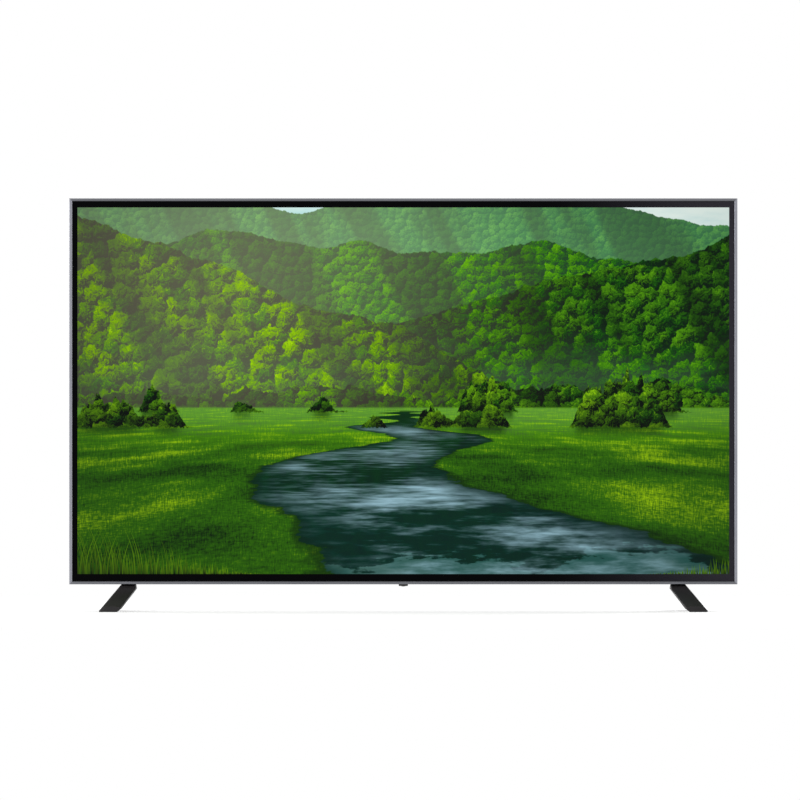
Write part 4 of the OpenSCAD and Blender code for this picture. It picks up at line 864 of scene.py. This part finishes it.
class TELEVISION_OT_feet(bpy.types.Operator):
    """Make the two feet with crowned toes and rounded edges"""

    bl_idname = "television.feet"
    bl_label = "Feet"

    def execute(self, context):
        look = context.scene.television_foot
        plastic = finishes().moulded(
            "foot plastic", look.plastic, rough=0.42, scale=800, depth=0.05, shine=0.2
        )
        for side, node in ((-1, "left_foot"), (1, "right_foot")):
            piece = merged_copy(node, node + "_shell")
            self.crown(piece, node, side, look)

            def shoulder(edge, outward):
                """Tells whether an edge runs between a sloping top and the flank on one side."""
                tops = [f for f in edge.link_faces if f.normal.z > 0.5 and abs(f.normal.y) > 0.15]
                flanks = [f for f in edge.link_faces if f.normal.x * outward > 0.4]
                return len(tops) == 1 and len(flanks) == 1

            bevel_where(piece, lambda edge: shoulder(edge, side), look.shoulder, 4)
            bevel_where(piece, lambda edge: shoulder(edge, -side), look.inner_shoulder, 6)
            hub_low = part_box(node)[1].z - look.hub
            shortest = 8 * MM

            def sharp(edge):
                long = edge.calc_length() > shortest and all(v.co.z < hub_low for v in edge.verts)
                return long and edge.is_convex and edge.calc_face_angle() > math.radians(35)

            bevel_where(piece, sharp, look.edge, 2)
            finish_piece(piece, plastic, node, angle=50)
        return {"FINISHED"}

    def crown(self, piece, node, side, look):
        """Cuts the foot into strips along its lean and raises them at the toes to a shallow arch."""
        low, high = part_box(node)
        toe_middle = Vector((side * look.toe_reach, 0, 0))
        top_middle = Vector((side * look.top_reach, 0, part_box("frame_bottom_rail")[0].z))
        lean = (top_middle - toe_middle).normalized()
        across = lean.cross(Vector((0, 1, 0)))
        sole_rise = 5 * MM
        cuts = (-0.8, -0.55, -0.28, 0.0, 0.28, 0.55, 0.8)  # shares of the half width
        for cut in cuts:
            bpy.ops.mesh.select_all(action="SELECT")
            bpy.ops.mesh.bisect(plane_co=toe_middle + across * cut * look.half_width, plane_no=across)
        bpy.ops.mesh.select_mode(type="VERT")
        for cut in cuts:
            bpy.ops.mesh.select_all(action="DESELECT")
            mesh = bmesh.from_edit_mesh(piece.data)
            for vert in mesh.verts:
                near_cut = abs((vert.co - toe_middle).dot(across) / look.half_width - cut) < 0.08
                at_toe = min(vert.co.y - low.y, high.y - vert.co.y) < CLOSE
                vert.select = near_cut and at_toe and vert.co.z > sole_rise
            bmesh.update_edit_mesh(piece.data)
            bpy.ops.transform.translate(value=lean * look.crown * (1 - cut ** 2))


class TELEVISION_OT_cover(bpy.types.Operator):
    """Make the rear cover with rounded outer edges and a band of ribs"""

    bl_idname = "television.cover"
    bl_label = "Rear cover"

    def execute(self, context):
        look = context.scene.television_back
        piece = merged_copy("rear_cover", "rear_cover_shell")
        least_area = 0.0015

        def outer(edge):
            wide = all(face.calc_area() > least_area and face.normal.y > -0.5 for face in edge.link_faces)
            return wide and edge.is_convex and edge.calc_face_angle() > math.radians(30)

        bevel_where(piece, outer, look.edge, 3)
        plastic = finishes().moulded(
            "cover plastic", look.plastic, rough=0.56, scale=650, depth=0.3, edge=0.8 * MM, shine=0.4,
            wear=0.6, pore=0.3 * MM, pale=1.12,
        )
        finish_piece(piece, plastic, "rear_cover", angle=35)
        self.ribs(look, plastic)
        return {"FINISHED"}

    def ribs(self, look, plastic):
        """A band of level ribs across the lower half of the cover's back."""
        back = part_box("rear_cover")[1].y
        sunk, rounded_share = 0.4 * MM, 0.9
        low = Vector((-look.band_width / 2, back - sunk, look.band_low))
        high = Vector((look.band_width / 2, back + look.rib_rise, look.band_low + look.rib_pitch / 2))
        piece = block("cover_ribs", low, high)
        bpy.ops.object.mode_set(mode="EDIT")
        rounding = look.rib_rise * rounded_share
        bevel_where(piece, lambda edge: all(v.co.y > back for v in edge.verts), rounding, 3)
        take(piece)
        bpy.ops.object.modifier_add(type="ARRAY")
        row = piece.modifiers[-1]
        row.count = int(look.band_height / look.rib_pitch)
        row.use_relative_offset = False
        row.use_constant_offset = True
        row.constant_offset_displace = (0, 0, look.rib_pitch)
        bpy.ops.object.modifier_apply(modifier=row.name)
        finish_piece(piece, plastic)


class TELEVISION_OT_nub(bpy.types.Operator):
    """Make the nub under the frame and its power key"""

    bl_idname = "television.nub"
    bl_label = "Power key"

    def execute(self, context):
        look = context.scene.television_nub
        housing = finishes().moulded("nub plastic", look.plastic, rough=0.35, scale=1500, depth=0.05)
        cap = finishes().moulded("key plastic", shaded(look.plastic, 0.8), rough=0.3, scale=1500, depth=0.04)
        rounded_zone = 6 * MM
        for node, name, material, edge_width, slot, body in (
            ("sensor_housing", "sensor_nub", housing, look.edge, "nub_plastic", SET_BODY),
            ("power_key", "key_cap", cap, look.key_edge, "key_plastic", "power_key"),
        ):
            piece = merged_copy(node, name)
            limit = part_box(node)[0].z + rounded_zone

            def outer(edge):
                low = all(v.co.z < limit for v in edge.verts)
                return low and edge.is_convex and edge.calc_face_angle() > math.radians(40)

            bevel_where(piece, outer, edge_width, 3)
            finish_piece(piece, material, node, body)
        return {"FINISHED"}


class TELEVISION_OT_solids(bpy.types.Operator):
    """Give the solids that stay as they are their finishes"""

    bl_idname = "television.solids"
    bl_label = "Finishes of the solids"

    def execute(self, context):
        f = finishes()
        made = {
            "steel": f.metal("zinc steel", tone(172, 174, 178), 0.3, (260, 260, 30)),
            "dark_screw": f.painted("black screw", tone(44, 44, 46), 0.35, 0.2 * MM),
            "foam": f.soft("foam strip", tone(46, 46, 47)),
            "polariser": f.film("rear polariser", tone(20, 20, 24)),
            "panel_glass": f.clear("panel glass", tone(170, 186, 184)),
            "driver_film": f.film("driver film", tone(176, 112, 48), 0.35),
            "board_green": f.board("green board", tone(12, 62, 34), tone(34, 104, 56), tone(196, 190, 160)),
            "board_tan": f.board("tan board", tone(168, 138, 92), tone(186, 154, 104), tone(200, 198, 190)),
            "flat_cable": f.film("flat cable", tone(226, 226, 220), 0.4),
            "cushion": f.soft("panel cushion", tone(24, 24, 24)),
            "middle_plastic": f.moulded("middle frame plastic", tone(30, 30, 30), 0.6),
            "optical_film": f.film("optical film", tone(238, 240, 242), 0.25, 0.3),
            "diffuser": f.film("diffuser plate", tone(240, 240, 232), 0.6),
            "clear_plastic": f.clear("clear plastic", tone(226, 240, 244)),
            "reflector": f.film("reflector sheet", tone(246, 246, 246), 0.55),
            "lamp_bar": f.painted("lamp bar", tone(226, 226, 226)),
            "lamp_chip": f.moulded("lamp chip", tone(232, 196, 70), 0.3, 3000, 0.05),
            "pan_steel": f.painted("pan steel", context.scene.television_back.steel, 0.42),
            "heat_sink": f.metal("heat sink", tone(150, 152, 156), 0.45, (40, 40, 400)),
            "transformer": f.moulded("transformer tape", tone(190, 150, 52), 0.45, 500),
            "capacitor": f.moulded("capacitor sleeve", tone(34, 38, 84), 0.3, 1200, 0.04),
            "header": f.moulded("plug block", tone(232, 226, 200), 0.5, 1200),
            "harness": f.soft("harness", tone(150, 36, 32), 0.55),
            "socket_black": f.moulded("socket plastic", tone(34, 34, 36), 0.42, 1500, 0.06, 0.2 * MM),
            "speaker_plastic": f.moulded("speaker plastic", tone(36, 36, 37), 0.55),
            "speaker_metal": f.painted("speaker metal", tone(66, 66, 70)),
            "cone": f.weave("cone paper", tone(58, 58, 60)),
            "bracket_steel": f.painted("bracket steel", tone(104, 104, 108), 0.4),
            "pad_rubber": f.soft("pad rubber", tone(30, 30, 30)),
        }
        for part in frame["record"]["subparts"]:
            node = frame["nodes"][part["node"]]
            if node.hide_render:
                continue
            for holder in node.material_slots:
                holder.material = made[part["material_slot"]]
        return {"FINISHED"}


class TELEVISION_OT_stage(bpy.types.Operator):
    """Set up the floor, the light and the camera"""

    bl_idname = "television.stage"
    bl_label = "Studio view"

    target = Vector((0, 0, 0.45))
    # name, place, size and power of each lamp
    lamps = (
        ("key lamp", (-3.8, -3.2, 2.4), 2.2, 240),
        ("fill lamp", (3.6, -3.2, 2.0), 2.6, 60),
        ("top lamp", (0.0, 0.6, 4.2), 3.0, 90),
        ("back key lamp", (3.4, 3.6, 2.6), 2.2, 260),
        ("back fill lamp", (-3.2, 3.4, 1.8), 2.6, 90),
    )
    floor_size = 60
    shadow_reach = (0.9, 2.4)  # the floor turns white between these distances from the set
    farthest_seen = 200

    def execute(self, context):
        look = context.scene.television_stage
        context.scene.view_settings.view_transform = "Standard"
        self.make_world(context.scene, look)
        self.make_floor(look)
        self.make_lamps()
        self.make_camera(context.scene, look)
        return {"FINISHED"}

    def seen_directly(self, w):
        """1 for rays from the camera, off metal or through glass, and 0 for scattered light."""
        path = w.add("LightPath").outputs
        mirror = w.math("MAXIMUM", path["Is Glossy Ray"], path["Is Transmission Ray"])
        return w.math("MAXIMUM", path["Is Camera Ray"], mirror)

    def make_world(self, scene, look):
        world = bpy.data.worlds.new("white studio")
        w = Wiring(bare_tree(world))
        strength = w.span(self.seen_directly(w), 0, 1, look.ambient, 1.0)
        light = w.add("Background", {"Color": (1, 1, 1, 1), "Strength": strength})
        w.add("OutputWorld", {"Surface": light.outputs[0]})
        scene.world = world

    def make_floor(self, look):
        deselect()
        bpy.ops.mesh.primitive_plane_add(size=self.floor_size)
        floor = bpy.context.object
        floor.name = "floor"
        material = bpy.data.materials.new("pale floor")
        w = Wiring(bare_tree(material))
        away = w.vector("LENGTH", w.here((1, 1, 0)))
        white = w.times(self.seen_directly(w), w.span(away, *self.shadow_reach, 0.45, 1.0))
        matt = w.add("BsdfDiffuse", {"Color": solid(look.floor)})
        glow = w.add("Emission", {"Color": (1, 1, 1, 1), "Strength": 1.0})
        both = w.add("MixShader", {0: white, 1: matt.outputs[0], 2: glow.outputs[0]})
        w.add("OutputMaterial", {"Surface": both.outputs[0]})
        floor.data.materials.append(material)

    def make_lamps(self):
        for name, place, size, power in self.lamps:
            deselect()
            facing = (self.target - Vector(place)).to_track_quat("-Z", "Y").to_euler()
            bpy.ops.object.light_add(type="AREA", location=place, rotation=facing)
            lamp = bpy.context.object
            lamp.name = name
            lamp.data.size = size
            lamp.data.energy = power
            lamp.visible_camera = False

    def make_camera(self, scene, look):
        deselect()
        place = Vector(look.aim) - Vector((0, look.distance, 0))
        bpy.ops.object.camera_add(location=place, rotation=(math.pi / 2, 0, 0))
        camera = bpy.context.object
        camera.data.lens = camera.data.sensor_width * look.distance / look.view_width
        camera.data.clip_end = self.farthest_seen
        scene.camera = camera


class TELEVISION_PT_panel(bpy.types.Panel):
    """Lists the pieces of the television"""

    bl_idname = "TELEVISION_PT_panel"
    bl_label = "Television"
    bl_space_type = "VIEW_3D"
    bl_region_type = "UI"
    bl_category = "Television"

    def draw(self, context):
        for operator in OPERATORS:
            self.layout.operator(operator.bl_idname)


LOOKS = {
    "television_frame": TelevisionFrameLook,
    "television_screen": TelevisionScreenLook,
    "television_back": TelevisionBackLook,
    "television_foot": TelevisionFootLook,
    "television_nub": TelevisionNubLook,
    "television_stage": TelevisionStageLook,
}
OPERATORS = (
    TELEVISION_OT_rails,
    TELEVISION_OT_screen,
    TELEVISION_OT_feet,
    TELEVISION_OT_cover,
    TELEVISION_OT_nub,
    TELEVISION_OT_solids,
    TELEVISION_OT_stage,
)


def register():
    for name, look in LOOKS.items():
        bpy.utils.register_class(look)
        setattr(bpy.types.Scene, name, PointerProperty(type=look))
    for kind in (*OPERATORS, TELEVISION_PT_panel):
        bpy.utils.register_class(kind)


def unregister():
    for kind in (TELEVISION_PT_panel, *reversed(OPERATORS)):
        bpy.utils.unregister_class(kind)
    for name, look in reversed(LOOKS.items()):
        delattr(bpy.types.Scene, name)
        bpy.utils.unregister_class(look)


def main():
    register()
    bpy.ops.television.rails()
    bpy.ops.television.screen()
    bpy.ops.television.feet()
    bpy.ops.television.cover()
    bpy.ops.television.nub()
    bpy.ops.television.solids()
    bpy.ops.television.stage()


if __name__ == "__main__":
    main()
